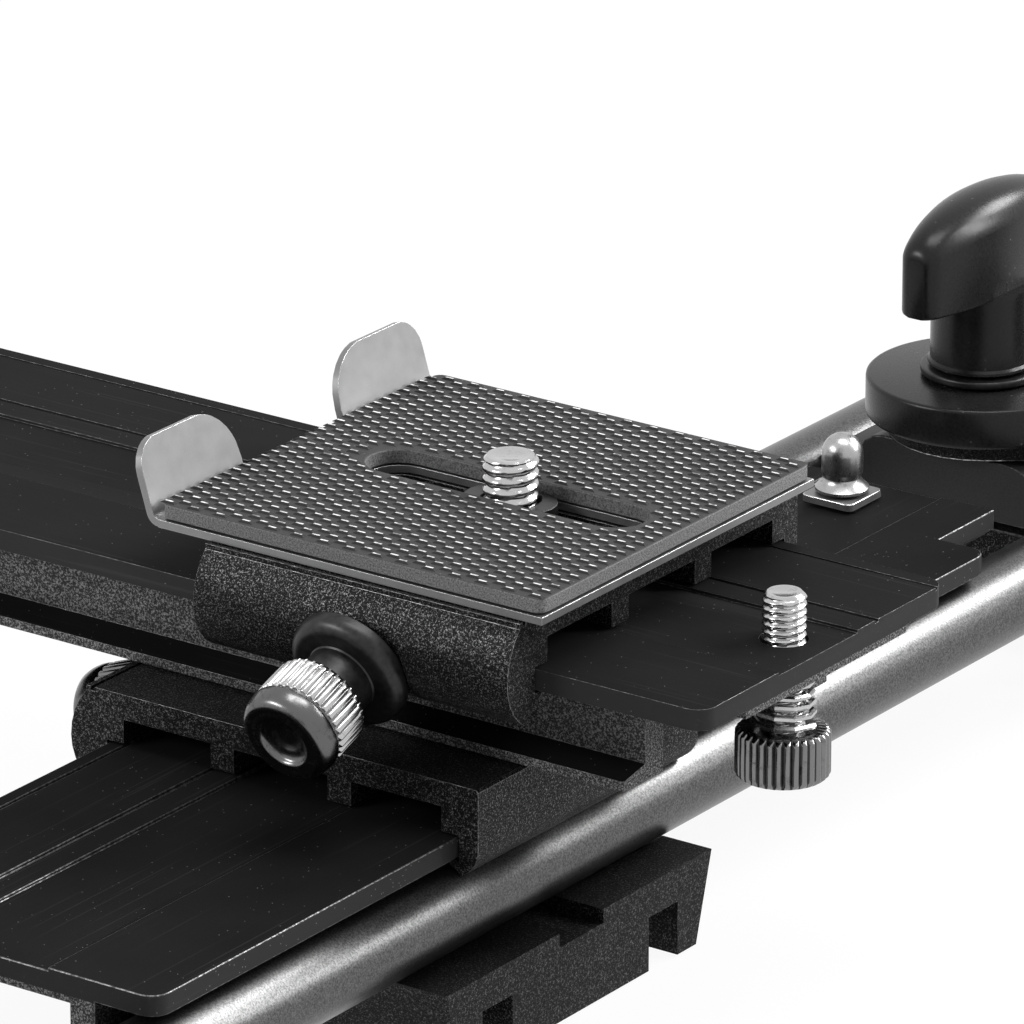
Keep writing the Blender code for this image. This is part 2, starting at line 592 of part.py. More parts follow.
def build_lower_rail():
    """The lower rail along Y, with its narrowed end, and the stop that stands on it."""
    outline, hollow = rail_section(1, LOWER_FOOT_HALF_WIDTH)
    shape = prism(lifted(outline, 0, LOWER_RAIL_BOTTOM), "Y", LOWER_RAIL_START, LOWER_RAIL_END,
                  [lifted(hollow, 0, LOWER_RAIL_BOTTOM)])
    rail = add_piece("lower_rail", shape, BLACK_ANODISED, BRACKET)
    rail_body_cuts(rail, "Y", LOWER_RAIL_START, LOWER_RAIL_END, LOWER_RAIL_BOTTOM, 0, BASE_HALF_WIDTH)
    wide, slim, corner = RAIL_HALF_WIDTH, TONGUE_HALF_WIDTH, RAIL_CORNER
    step = LOWER_RAIL_END - TONGUE_LENGTH
    plan = (arc((-wide + corner, LOWER_RAIL_START + corner), corner, 180, 270, 5)
            + arc((wide - corner, LOWER_RAIL_START + corner), corner, 270, 360, 5)
            + arc((wide - corner, step - corner), corner, 0, 90, 5)
            + [(slim, step), (slim, LOWER_RAIL_END), (-slim, LOWER_RAIL_END), (-slim, step)]
            + arc((-wide + corner, step - corner), corner, 90, 180, 5))
    plan_shape = prism(plan, "Z", LOWER_RAIL_BOTTOM - CUT_EXTRA, LOWER_RAIL_TOP + CUT_EXTRA)
    carve(rail, "plan", plan_shape, "INTERSECT")
    floor_top = LOWER_RAIL_BOTTOM + RAIL_FLOOR
    for number, end in enumerate([1, -1], 1):
        hole = rod(M4 + BORE_CLEARANCE, LOWER_RAIL_BOTTOM - CUT_EXTRA, floor_top + CUT_EXTRA)
        carve(rail, "screw_hole_%d" % number, moved(hole, at(0, end * RAIL_SCREW_AT)))
    stop_hole = rod(M3 + BORE_CLEARANCE, LOWER_RAIL_TOP - RAIL_WEB - CUT_EXTRA, LOWER_RAIL_TOP + CUT_EXTRA)
    carve(rail, "stop_hole", moved(stop_hole, at(0, STOP_AT)))
    build_end_stop()


def build_end_stop():
    """A round-nosed nut on a square washer, held by a bolt from under the rail's web."""
    washer_bottom = LOWER_RAIL_TOP - RECESS_DEPTH + GAP
    washer_top = washer_bottom + STOP_WASHER_THICKNESS
    half = STOP_WASHER / 2
    hole = circle((0, STOP_AT), M3 + BORE_CLEARANCE, SMALL_STEPS)
    outline = rounded_box((-half, STOP_AT - half), (half, STOP_AT + half), STOP_WASHER_CORNER)
    add_piece("end_stop_washer", prism(outline, "Z", washer_bottom, washer_top, [hole]), CHROME, BRACKET)
    foot = washer_top + GAP
    nose = foot + STOP_NUT_HEIGHT
    radius = STOP_NUT_RADIUS
    bore = M3 + BORE_CLEARANCE
    waist = foot + STOP_NUT_HEIGHT / 2
    flange = radius + STOP_NUT_FLANGE
    flange_top = foot + STOP_NUT_FLANGE_HEIGHT
    neck = foot + STOP_NUT_NECK_HEIGHT
    shoulder = nose - STOP_NUT_NOSE
    crown = [(radius * math.cos(math.radians(angle)), shoulder + STOP_NUT_NOSE * math.sin(math.radians(angle)))
             for angle in (0, 20, 38, 55, 70, 82)]
    profile = [(0, waist), (bore, waist), (bore, foot), (flange, foot), (flange, flange_top),
               (radius - STOP_NUT_NECK, neck), (radius, neck + 2 * STOP_NUT_NECK)] + crown + [(0, nose)]
    add_piece("end_stop_nut", moved(turned(profile), at(0, STOP_AT)), CHROME, BRACKET)
    head_top = LOWER_RAIL_TOP - RAIL_WEB - GAP
    bolt = headed(M3, waist - GAP, M3_HEAD_RADIUS, head_top - STOP_BOLT_HEAD, head_top)
    add_piece("end_stop_bolt", moved(bolt, at(0, STOP_AT)), BLACK_OXIDE, BRACKET)


def carriage_section():
    """The carriage's outline; the lock knob's jaw is on the positive side, heights from the rail's top."""
    edge = RAIL_HALF_WIDTH
    slack = edge + GAP
    shoulder = edge - SHOULDER
    under = -RAIL_PLATE - GAP
    rib_in, rib_out = RIB_AT - RIB_WIDTH / 2, RIB_AT + RIB_WIDTH / 2
    hook = edge - JAW_HOOK
    inside = [(rib_in, CARRIAGE_CEILING), (rib_in, GAP), (rib_out, GAP), (rib_out, CARRIAGE_CEILING),
              (shoulder, CARRIAGE_CEILING), (shoulder, GAP), (slack, GAP), (slack, under), (hook, under)]
    return (inside + knob_jaw(edge, hook, under)
            + [(-u, w) for u, w in reversed(inside + plain_jaw(edge, hook, under))])


def knob_jaw(edge, hook, under):
    """The jaw that the lock screw goes through: a round belly, and a narrow groove inside its top lip."""
    middle, belly = KNOB_JAW_MIDDLE, edge + KNOB_JAW_BULGE
    lower = KNOB_JAW_LOWER_RADIUS
    lower_end = -math.degrees(math.asin((middle - KNOB_JAW_TIP) / lower))
    rise = CARRIAGE_HEIGHT - KNOB_JAW_LIP - middle
    run = KNOB_JAW_BULGE - KNOB_JAW_TOP
    upper = (rise * rise + run * run) / (2 * run)
    upper_end = math.degrees(math.asin(rise / upper))
    top_out, top = edge + KNOB_JAW_TOP, CARRIAGE_HEIGHT
    groove_out = top_out - KNOB_JAW_LIP
    groove_in = groove_out - LIP_GROOVE
    return ([(hook + JAW_HOOK_STEP, under - JAW_HOOK_STEP)]
            + arc((belly - lower, middle), lower, lower_end, 0, 5)
            + arc((belly - upper, middle), upper, 0, upper_end, 4)[1:]
            + [(top_out, top), (groove_out, top), (groove_out, top - LIP_GROOVE)]
            + [(groove_in, top - LIP_GROOVE), (groove_in, top)])


def plain_jaw(edge, hook, under):
    """The fixed jaw: a straight side that curves in under the rail's edge."""
    radius, side = PLAIN_JAW_RADIUS, edge + PLAIN_JAW_OUT
    sweep = -math.degrees(math.asin((PLAIN_JAW_MIDDLE - PLAIN_JAW_TIP) / radius))
    corner = JAW_HOOK_STEP
    return ([(hook, under - JAW_HOOK_STEP)]
            + arc((side - radius, PLAIN_JAW_MIDDLE), radius, sweep, 0, 5)
            + [(side, CARRIAGE_HEIGHT - corner), (side - corner, CARRIAGE_HEIGHT)])


def lock_axis(home, outward):
    """The frame of a lock screw: Z runs out of the jaw and down by the tilt."""
    direction = (Vector(outward) * math.cos(LOCK_TILT) + Vector((0, 0, -math.sin(LOCK_TILT)))).normalized()
    return Matrix.Translation(home) @ direction.to_track_quat("Z", "Y").to_matrix().to_4x4()


def build_lock(prefix, carriage, frame, home, outward, flange, knob_material):
    """A tilted lock screw through a jaw, with its flanged collar and its knurled knob."""
    axis = lock_axis(home, outward)
    far = LOCK_SEAT + FLANGE_THICKNESS + LOCK_NECK_LENGTH + LOCK_KNOB_LENGTH
    bore = LOCK_SCREW_RADIUS + BORE_CLEARANCE
    carve(carriage, "lock_seat", moved(rod(flange + GAP, LOCK_SEAT, far, ROUND_STEPS), axis))
    carve(carriage, "lock_bore", moved(rod(bore, -GAP, far), axis))
    flange_start = LOCK_SEAT + GAP
    flange_end = flange_start + FLANGE_THICKNESS
    collar_end = flange_end + LOCK_NECK_LENGTH
    rim = arc((flange - FLANGE_ROUND, flange_end - FLANGE_ROUND), FLANGE_ROUND, 0, 90, 4)
    collar = turned([(bore, flange_start), (flange, flange_start)] + rim
                    + [(LOCK_NECK_RADIUS, flange_end), (LOCK_NECK_RADIUS, collar_end), (bore, collar_end)])
    add_piece(prefix + "_lock_collar", moved(collar, axis), BLACK_OXIDE, frame)
    knob_start = collar_end + GAP
    knob_end = knob_start + LOCK_KNOB_LENGTH
    blind = knob_start + KNOB_BORE_DEPTH
    profile = [(0, blind), (bore, blind), (bore, knob_start)] + lock_knob_outline(knob_start, knob_end)
    add_piece(prefix + "_lock_knob", moved(turned(profile), axis), knob_material, frame)
    screw = rod(LOCK_SCREW_RADIUS, LOCK_SCREW_RADIUS * math.sin(LOCK_TILT) + 2 * GAP, blind - GAP)
    add_piece(prefix + "_lock_screw", moved(screw, axis), BLACK_OXIDE, frame)


def lock_knob_outline(start, end):
    """From the knob's back rim over its grip and bezel to the dimple in its face."""
    radius, bezel = LOCK_KNOB_RADIUS, KNOB_BEZEL
    dimple, deep = KNOB_DIMPLE_RADIUS, KNOB_DIMPLE_DEPTH
    back = bezel * 0.15
    grip = [(radius - back, start), (radius, start + back), (radius, end - bezel)]
    taper = [(radius * 0.985, end - bezel * 0.55), (radius * 0.95, end - bezel * 0.2), (radius * 0.88, end)]
    hollow = [(dimple, end), (dimple * 0.93, end - deep * 0.35), (dimple * 0.7, end - deep * 0.85)]
    return grip + taper + hollow + [(0, end - deep)]


def build_lower_stage():
    """The lower carriage, its lock, and the screws that hold the upper rail on it."""
    half = CARRIAGE_LENGTH / 2
    section = [(-u, w + LOWER_RAIL_TOP) for u, w in carriage_section()]
    shape = prism(section, "Y", LOWER_CARRIAGE_CENTRE - half, LOWER_CARRIAGE_CENTRE + half)
    carriage = add_piece("lower_carriage", shape, BLASTED_BLACK, LOWER_STAGE)
    ceiling = LOWER_RAIL_TOP + CARRIAGE_CEILING
    for number, side in enumerate([1, -1], 1):
        spot = at(side * CARRIAGE_SCREW_AT, UPPER_RAIL_CENTRE)
        hole = rod(M4 + BORE_CLEARANCE, ceiling - CUT_EXTRA, LOWER_CARRIAGE_TOP + CUT_EXTRA)
        carve(carriage, "rail_screw_hole_%d" % number, moved(hole, spot))
        screw = headed(M4, UPPER_RAIL_BOTTOM + RAIL_SCREW_REACH, M4_HEAD_RADIUS,
                       ceiling - GAP - CARRIAGE_SCREW_HEAD, ceiling - GAP)
        add_piece("upper_rail_screw_%d" % number, moved(screw, spot), BLACK_OXIDE, LOWER_STAGE)
    build_lock("lower", carriage, LOWER_LOCK, LOWER_LOCK_HOME, (-1, 0, 0), LOWER_FLANGE_RADIUS, BLACK_OXIDE)


def build_upper_rail():
    """The upper rail along X, screwed to the lower carriage."""
    outline, hollow = rail_section(-1, UPPER_FOOT_HALF_WIDTH)
    centre, bottom, top = UPPER_RAIL_CENTRE, UPPER_RAIL_BOTTOM, UPPER_RAIL_TOP
    shape = prism(lifted(outline, centre, bottom), "X", UPPER_RAIL_START, UPPER_RAIL_END,
                  [lifted(hollow, centre, bottom)])
    rail = add_piece("upper_rail", shape, BLACK_ANODISED, LOWER_STAGE)
    rail_body_cuts(rail, "X", UPPER_RAIL_START, UPPER_RAIL_END, bottom, centre, RAIL_HALF_WIDTH)
    near, far = centre - RAIL_HALF_WIDTH, centre + RAIL_HALF_WIDTH
    plan = rounded_box((UPPER_RAIL_START, near), (UPPER_RAIL_END, far), RAIL_CORNER, 5)
    plan_shape = prism(plan, "Z", bottom - CUT_EXTRA, top + CUT_EXTRA)
    carve(rail, "plan", plan_shape, "INTERSECT")
    for number, side in enumerate([1, -1], 1):
        hole = rod(M4 + BORE_CLEARANCE, bottom - CUT_EXTRA, bottom + RAIL_FLOOR + CUT_EXTRA)
        carve(rail, "screw_hole_%d" % number, moved(hole, at(side * CARRIAGE_SCREW_AT, centre)))
    hole = rod(CAPTIVE_RADIUS + BORE_CLEARANCE, top - RAIL_WEB - CUT_EXTRA, top + CUT_EXTRA)
    carve(rail, "captive_hole", moved(hole, at(CAPTIVE_AT, centre)))


def spring_route(start, end):
    """Points down a conical spring, each end straight for one wire diameter."""
    count = SPRING_TURNS * POINTS_A_CURL
    points = []
    for step in range(count + 1):
        share = step / count
        angle = 2 * math.pi * step / POINTS_A_CURL
        radius = SPRING_TOP_RADIUS + (SPRING_FOOT_RADIUS - SPRING_TOP_RADIUS) * share
        height = start + (end - start) * share
        points.append(Vector((radius * math.cos(angle), radius * math.sin(angle), height)))
    lead_in = (points[0] - points[1]).normalized() * 2 * SPRING_WIRE
    lead_out = (points[-1] - points[-2]).normalized() * 2 * SPRING_WIRE
    return [points[0] + lead_in] + points + [points[-1] + lead_out]


def least_gap(points, skip, width):
    """The least distance between the surfaces of turns that are at least skip points apart."""
    count = len(points)
    return min((points[i] - points[j]).length for i in range(count) for j in range(i + skip, count)) - width


def build_captive_screw():
    """The knurled screw that hangs in the upper rail's end, with the spring that holds it down."""
    place = at(CAPTIVE_AT, UPPER_RAIL_CENTRE)
    top = UPPER_RAIL_TOP + CAPTIVE_ABOVE
    head_bottom = CAPTIVE_HEAD_TOP - CAPTIVE_HEAD
    radius = CAPTIVE_RADIUS
    head = CAPTIVE_HEAD_RADIUS
    head_top = CAPTIVE_HEAD_TOP
    chamfer = SCREW_CHAMFER
    profile = [(0, head_bottom), (head - chamfer, head_bottom), (head, head_bottom + chamfer),
               (head, head_top - chamfer), (head - chamfer, head_top), (radius, head_top),
               (radius, top - chamfer), (radius - chamfer, top), (0, top)]
    add_piece("captive_screw", moved(turned(profile), place), CHROME, CAPTIVE)
    upper = UPPER_RAIL_TOP - RAIL_WEB - GAP - SPRING_WIRE
    lower = CAPTIVE_HEAD_TOP + GAP + SPRING_WIRE
    route = spring_route(upper, lower)
    gap = least_gap(route, POINTS_A_CURL - 2, 2 * SPRING_WIRE)
    print("captive spring: least gap to itself %.2f mm" % (gap / MM))
    curve = bpy.data.curves.new("captive_spring", "CURVE")
    curve.dimensions = "3D"
    curve.bevel_depth = SPRING_WIRE
    curve.bevel_resolution = 1
    curve.use_fill_caps = True
    spline = curve.splines.new("POLY")
    spline.points.add(len(route) - 1)
    drop = Vector((0, 0, CAPTIVE_HEAD_TOP))
    for point, spot in zip(spline.points, route):
        point.co = (*(spot - drop), 1)
    curve.materials.append(SPRING_STEEL)
    spring = bpy.data.objects.new("captive_spring", curve)
    spring.parent = CAPTIVE
    bpy.context.collection.objects.link(spring)


def build_qr_carriage():
    """The quick-release carriage on the upper rail and its lock."""
    half = CARRIAGE_LENGTH / 2
    section = [(UPPER_RAIL_CENTRE - u, w + UPPER_RAIL_TOP) for u, w in carriage_section()]
    shape = prism(section, "X", QR_CARRIAGE_CENTRE - half, QR_CARRIAGE_CENTRE + half)
    carriage = add_piece("qr_carriage", shape, BLASTED_BLACK, QR_STAGE)
    top = QR_CARRIAGE_TOP + CUT_EXTRA
    ceiling = UPPER_RAIL_TOP + CARRIAGE_CEILING
    slot_half = CAMERA_SCREW_RADIUS + BORE_CLEARANCE
    slot = stadium((SLOT_CENTRE_X, UPPER_RAIL_CENTRE), SLOT_HALF_LENGTH, slot_half)
    carve(carriage, "screw_slot", prism(slot, "Z", ceiling - CUT_EXTRA, top))
    for number, side in enumerate([1, -1], 1):
        hole = rod(M3 + BORE_CLEARANCE, ceiling - CUT_EXTRA, top)
        carve(carriage, "rivet_hole_%d" % number, moved(hole, rivet_place(side)))
    build_lock("qr", carriage, QR_LOCK, QR_LOCK_HOME, (0, -1, 0), QR_FLANGE_RADIUS, CHROME)


def rivet_place(side):
    return at(QR_CARRIAGE_CENTRE, UPPER_RAIL_CENTRE + side * RIVET_AT)


def ear_path():
    """Where the sheet's middle runs as it bends up into an ear: (out, up, direction, left of the ear)."""
    steps = 5
    path = []
    for step in range(1, steps + 1):
        angle = EAR_LEAN * step / steps
        path.append((EAR_BEND * math.sin(angle), EAR_BEND * (1 - math.cos(angle)), angle))
    out, up, angle = path[-1]
    length = (EAR_HEIGHT - up) / math.sin(angle)
    left = {length - EAR_INNER_ROUND, length - EAR_OUTER_ROUND}
    for step in range(1, EAR_ROUND_STEPS + 1):
        share = math.sin(math.radians(80 * step / EAR_ROUND_STEPS))
        left |= {length - EAR_INNER_ROUND * (1 - share), length - EAR_OUTER_ROUND * (1 - share)}
    bend = [(*spot, length) for spot in path]
    return bend + [(out + along * math.cos(angle), up + along * math.sin(angle), angle, length - along)
                   for along in sorted(left) if along > 0]


def ear_reach(left, radius):
    """Half of the ear's width where so much of it is left above, with a corner of this radius."""
    if left >= radius:
        return EAR_HALF_WIDTH
    return EAR_HALF_WIDTH - radius + math.sqrt(radius * radius - (radius - left) ** 2)


def add_ear(shape, corners, middle_y, outward):
    """Draw an ear out of the plate's rear edge; corners are the edge's four vertices."""
    rear = PLATE_CENTRE_X - PLATE_HALF_X
    middle_z = STEEL_BOTTOM + STEEL / 2
    previous = corners
    for out, up, angle, left in ear_path():
        centre = Vector((rear - out, 0, middle_z + up))
        across = Vector((-math.sin(angle), 0, -math.cos(angle))) * STEEL / 2
        section = []
        for offset, side in ((across, -1), (across, 1), (-across, 1), (-across, -1)):
            spot = centre + offset
            reach = ear_reach(left, EAR_OUTER_ROUND if side == outward else EAR_INNER_ROUND)
            section.append(shape.verts.new((spot.x, middle_y + side * reach, spot.z)))
        for index in range(4):
            following = (index + 1) % 4
            shape.faces.new((previous[index], previous[following], section[following], section[index]))
        previous = section
    shape.faces.new(previous)


def build_quick_release_plate():
    """The sheet-steel plate with its two turned-up ears, the rubber pad on it and its rivets."""
    rear, front = PLATE_CENTRE_X - PLATE_HALF_X, PLATE_CENTRE_X + PLATE_HALF_X
    near, far = UPPER_RAIL_CENTRE - PLATE_HALF_Y, UPPER_RAIL_CENTRE + PLATE_HALF_Y
    ear_edges = []
    for side in (1, -1):
        middle = UPPER_RAIL_CENTRE + side * EAR_AT
        ear_edges.append((middle, middle + EAR_HALF_WIDTH, middle - EAR_HALF_WIDTH, side))
    outline = [(rear, near), (front, near), (front, far), (rear, far)]
    outline += [(rear, y) for _, high, low, _ in ear_edges for y in (high, low)]
    slot = stadium((SLOT_CENTRE_X, UPPER_RAIL_CENTRE), SLOT_HALF_LENGTH, SLOT_HALF_WIDTH)
    shape = prism(outline, "Z", STEEL_BOTTOM, STEEL_TOP, [slot])
    tiny = 1e-6

    def corner(y, z):
        return next(v for v in shape.verts if abs(v.co.x - rear) < tiny and abs(v.co.y - y) < tiny
                    and abs(v.co.z - z) < tiny)

    for middle, high, low, side in ear_edges:
        corners = [corner(low, STEEL_BOTTOM), corner(high, STEEL_BOTTOM), corner(high, STEEL_TOP),
                   corner(low, STEEL_TOP)]
        shape.faces.remove(next(f for f in shape.faces if set(f.verts) == set(corners)))
        add_ear(shape, corners, middle, side)
    plate = add_piece("quick_release_plate", shape, STEEL_SHEET, QR_STAGE)
    pad_low = (rear + PAD_INSET, near + PAD_INSET)
    pad_high = (front - PAD_INSET, far - PAD_INSET)
    pad_shape = prism(rounded_box(pad_low, pad_high, PAD_CORNER), "Z", PAD_BOTTOM, PAD_TOP, [slot])
    pad = add_piece("rubber_pad", pad_shape, RUBBER, QR_STAGE)
    head_top = STEEL_TOP + GLUE_LINE + RIVET_HEAD
    foot_top = UPPER_RAIL_TOP + CARRIAGE_CEILING - GLUE_LINE
    for number, side in enumerate([1, -1], 1):
        hole = rod(M3 + BORE_CLEARANCE, STEEL_BOTTOM - CUT_EXTRA, STEEL_TOP + CUT_EXTRA)
        carve(plate, "rivet_hole_%d" % number, moved(hole, rivet_place(side)))
        pocket = rod(M3_HEAD_RADIUS + BORE_CLEARANCE, PAD_BOTTOM - CUT_EXTRA, head_top + GLUE_LINE)
        carve(pad, "rivet_pocket_%d" % number, moved(pocket, rivet_place(side)))
        rivet = turned([(0, foot_top - RIVET_FOOT), (M3_HEAD_RADIUS, foot_top - RIVET_FOOT),
                        (M3_HEAD_RADIUS, foot_top), (M3, foot_top), (M3, head_top - RIVET_HEAD),
                        (M3_HEAD_RADIUS, head_top - RIVET_HEAD), (M3_HEAD_RADIUS, head_top), (0, head_top)],
                       SMALL_STEPS)
        add_piece("plate_rivet_%d" % number, moved(rivet, rivet_place(side)), BLACK_OXIDE, QR_STAGE)


def build_camera_screw():
    """The camera screw, its head in the carriage's channel, and the slider that guides it in the slot."""
    place = at(CAMERA_SCREW_AT, UPPER_RAIL_CENTRE)
    radius = CAMERA_SCREW_RADIUS
    head_top = UPPER_RAIL_TOP + CARRIAGE_CEILING - GAP
    top = PAD_TOP + CAMERA_SCREW_ABOVE
    chamfer = SCREW_CHAMFER
    head = CAMERA_SCREW_HEAD_RADIUS
    profile = [(0, head_top - CAMERA_SCREW_HEAD), (head, head_top - CAMERA_SCREW_HEAD), (head, head_top),
               (radius, head_top), (radius, top - chamfer), (radius - chamfer, top), (0, top)]
    add_piece("camera_screw", moved(turned(profile, SMALL_STEPS), place), CHROME, CAMERA_SCREW)
    bottom = QR_CARRIAGE_TOP + GAP
    hole = circle((CAMERA_SCREW_AT, UPPER_RAIL_CENTRE), radius + BORE_CLEARANCE, SMALL_STEPS)
    outline = stadium((CAMERA_SCREW_AT, UPPER_RAIL_CENTRE), SLIDER_LENGTH / 2, SLOT_HALF_WIDTH - GAP / 2)
    slider = prism(outline, "Z", bottom, bottom + SLIDER_THICKNESS, [hole])
    add_piece("screw_slider", slider, BLACK_PLASTIC, SCREW_SLIDE)


def clamp_block_outline():
    """Half between the tubes: shoulders bear on the tubes, the top is narrower with round corners."""
    bottom = TUBE_AXIS + CLAMP_SPLIT
    grip = TUBE_RADIUS + GAP
    lift = math.degrees(math.asin(CLAMP_SPLIT / grip))
    lip_angle = math.degrees(math.acos((TUBE_SPREAD - CLAMP_LIP) / grip))
    seat = arc((TUBE_SPREAD, TUBE_AXIS), grip, 180 - lift, 180 - lip_angle, 5)
    lip = (CLAMP_LIP - CLAMP_LIP_EDGE, seat[-1][1] + CLAMP_LIP_EDGE)
    corner = arc((CLAMP_HALF_WIDTH - CLAMP_CORNER, CLAMP_TOP - CLAMP_CORNER), CLAMP_CORNER, 0, 90, 4)
    right = seat + [lip] + corner
    return right + [(-u, w) for u, w in reversed(right)], bottom


def build_side(label, end):
    """One tube clamp with its flash arm, T-shaped knob and tilting shoe; end is 1 right, -1 left."""
    y = end * CLAMP_AT
    clamp = joint_frame(label + "_clamp", (0, y, TUBE_AXIS), BRACKET)
    knob = joint_frame(label + "_knob_axis", (0, y, STEM_BOTTOM), clamp)
    arm_frame = joint_frame(label + "_arm_axis", (0, y, ARM_BOTTOM), clamp)
    turn = at(0, y) @ Matrix.Rotation(end * ARM_TOE_OUT, 4, "Z")
    hinge_place = turn @ Vector((ARM_LENGTH, 0, HINGE_AXIS))
    shoe_frame = joint_frame(label + "_shoe_axis", hinge_place, arm_frame)
    screw_frame = joint_frame(label + "_tilt_screw_axis", hinge_place, arm_frame)
    build_clamp(label, y, clamp)
    build_t_knob(label, y, knob)
    build_arm(label, turn, arm_frame)
    build_shoe(label, turn, arm_frame, shoe_frame, screw_frame)


def build_clamp(label, y, clamp):
    """The saddle under both tubes and the block between them."""
    near, far = y - CLAMP_HALF_LENGTH, y + CLAMP_HALF_LENGTH
    grip = TUBE_RADIUS + GAP
    top = TUBE_AXIS - CLAMP_SPLIT
    lift = math.degrees(math.asin(CLAMP_SPLIT / grip))
    bevel = SADDLE_BEVEL
    wide = SADDLE_HALF_WIDTH
    seat = arc((TUBE_SPREAD, TUBE_AXIS), grip, -lift, -180 + lift, 12)
    right = [(wide - bevel, SADDLE_BOTTOM), (wide, SADDLE_BOTTOM + bevel), (wide, top)] + seat
    outline = right + [(-u, w) for u, w in reversed(right)]
    saddle = add_piece(label + "_clamp_saddle", prism(outline, "Y", near, far), BLACK_ANODISED, clamp)
    bore = CLAMP_BOLT_RADIUS + BORE_CLEARANCE
    carve(saddle, "bolt_bore", moved(rod(bore, SADDLE_BOTTOM - CUT_EXTRA, top + CUT_EXTRA), at(0, y)))
    outline, bottom = clamp_block_outline()
    block = add_piece(label + "_clamp_block", prism(outline, "Y", near, far), GREY_ANODISED, clamp)
    carve(block, "bolt_bore", moved(rod(bore, bottom - CUT_EXTRA, CLAMP_TOP + CUT_EXTRA), at(0, y)))
    disc_top = DISC_BOTTOM + DISC_THICKNESS
    profile = [(bore, DISC_BOTTOM), (DISC_RADIUS - DISC_CHAMFER, DISC_BOTTOM),
               (DISC_RADIUS, DISC_BOTTOM + DISC_CHAMFER), (DISC_RADIUS, disc_top - DISC_CHAMFER),
               (DISC_RADIUS - DISC_CHAMFER, disc_top), (bore, disc_top)]
    add_piece(label + "_clamp_disc", moved(turned(profile), at(0, y)), BLACK_ANODISED, clamp)


def wing_loft():
    """The half-moon wing along Y: upright sides with a crisp upper edge, round ends and a domed top."""
    shape = bmesh.new()
    sections = []
    for station in range(WING_STATIONS + 1):
        along = -math.cos(math.pi * station / WING_STATIONS)
        swell = math.sin(math.pi * station / WING_STATIONS)
        wide = WING_END_HALF_WIDTH + (WING_HALF_WIDTH - WING_END_HALF_WIDTH) * swell * swell
        to_end = WING_HALF_LENGTH * (1 - abs(along))
        if to_end < WING_END_ROUND:
            wide *= 0.5 + 0.5 * math.sqrt(to_end / WING_END_ROUND * (2 - to_end / WING_END_ROUND))
        side = WING_END_SIDE_HEIGHT + (WING_SIDE_HEIGHT - WING_END_SIDE_HEIGHT) * swell
        dome = WING_END_DOME + (WING_DOME - WING_END_DOME) * swell
        half = [(wide, 0), (wide, side), (wide * 0.82, side + dome * 0.5), (wide * 0.48, side + dome * 0.86)]
        outline = half + [(0, side + dome)] + [(-u, w) for u, w in reversed(half)]
        sections.append([shape.verts.new((u, WING_HALF_LENGTH * along, w)) for u, w in outline])
    for near, far in zip(sections, sections[1:]):
        for index in range(len(near)):
            following = (index + 1) % len(near)
            shape.faces.new((near[index], near[following], far[following], far[index]))
    shape.faces.new(sections[0])
    shape.faces.new(sections[-1])
    return shape


def build_t_knob(label, y, frame):
    """The half-moon knob on its stem, the ring under it and the bolt it turns."""
    bore = CLAMP_BOLT_RADIUS + BORE_CLEARANCE
    collar = ring(bore, COLLAR_RADIUS, COLLAR_BOTTOM, COLLAR_BOTTOM + COLLAR_THICKNESS)
    add_piece(label + "_knob_ring", moved(collar, at(0, y)), CHROME, frame)
    wing = add_piece(label + "_t_knob", moved(wing_loft(), at(0, y, WING_BOTTOM)), BLACK_PLASTIC, frame)
    stem_top = WING_BOTTOM + STEM_SUNK
    stem = turned([(0, STEM_BOTTOM), (STEM_RADIUS + STEM_FLARE, STEM_BOTTOM),
                   (STEM_RADIUS, STEM_BOTTOM + 2 * STEM_FLARE), (STEM_RADIUS, stem_top), (0, stem_top)])
    carve(wing, "stem", moved(stem, at(0, y)), "UNION")
    blind = WING_BOTTOM - STEM_SUNK
    carve(wing, "bolt_bore", moved(rod(bore, STEM_BOTTOM - CUT_EXTRA, blind), at(0, y)))
    bolt = rod(CLAMP_BOLT_RADIUS, SADDLE_BOTTOM + GAP, blind - GAP)
    add_piece(label + "_clamp_bolt", moved(bolt, at(0, y)), BLACK_OXIDE, frame)


def build_arm(label, turn, frame):
    """The flat arm with round ends, its pivot hole and the hole of the shoe fork's screw."""
    reach = ARM_LENGTH / 2 + ARM_HALF_WIDTH
    outline = stadium((ARM_LENGTH / 2, 0), reach, ARM_HALF_WIDTH, 14)
    pivot = circle((0, 0), CLAMP_BOLT_RADIUS + BORE_CLEARANCE, SMALL_STEPS)
    front = circle((ARM_LENGTH, 0), M4 + BORE_CLEARANCE, SMALL_STEPS)
    arm = prism(outline, "Z", ARM_BOTTOM, ARM_TOP, [pivot, front])
    add_piece(label + "_flash_arm", moved(arm, turn), BLACK_ANODISED, frame)


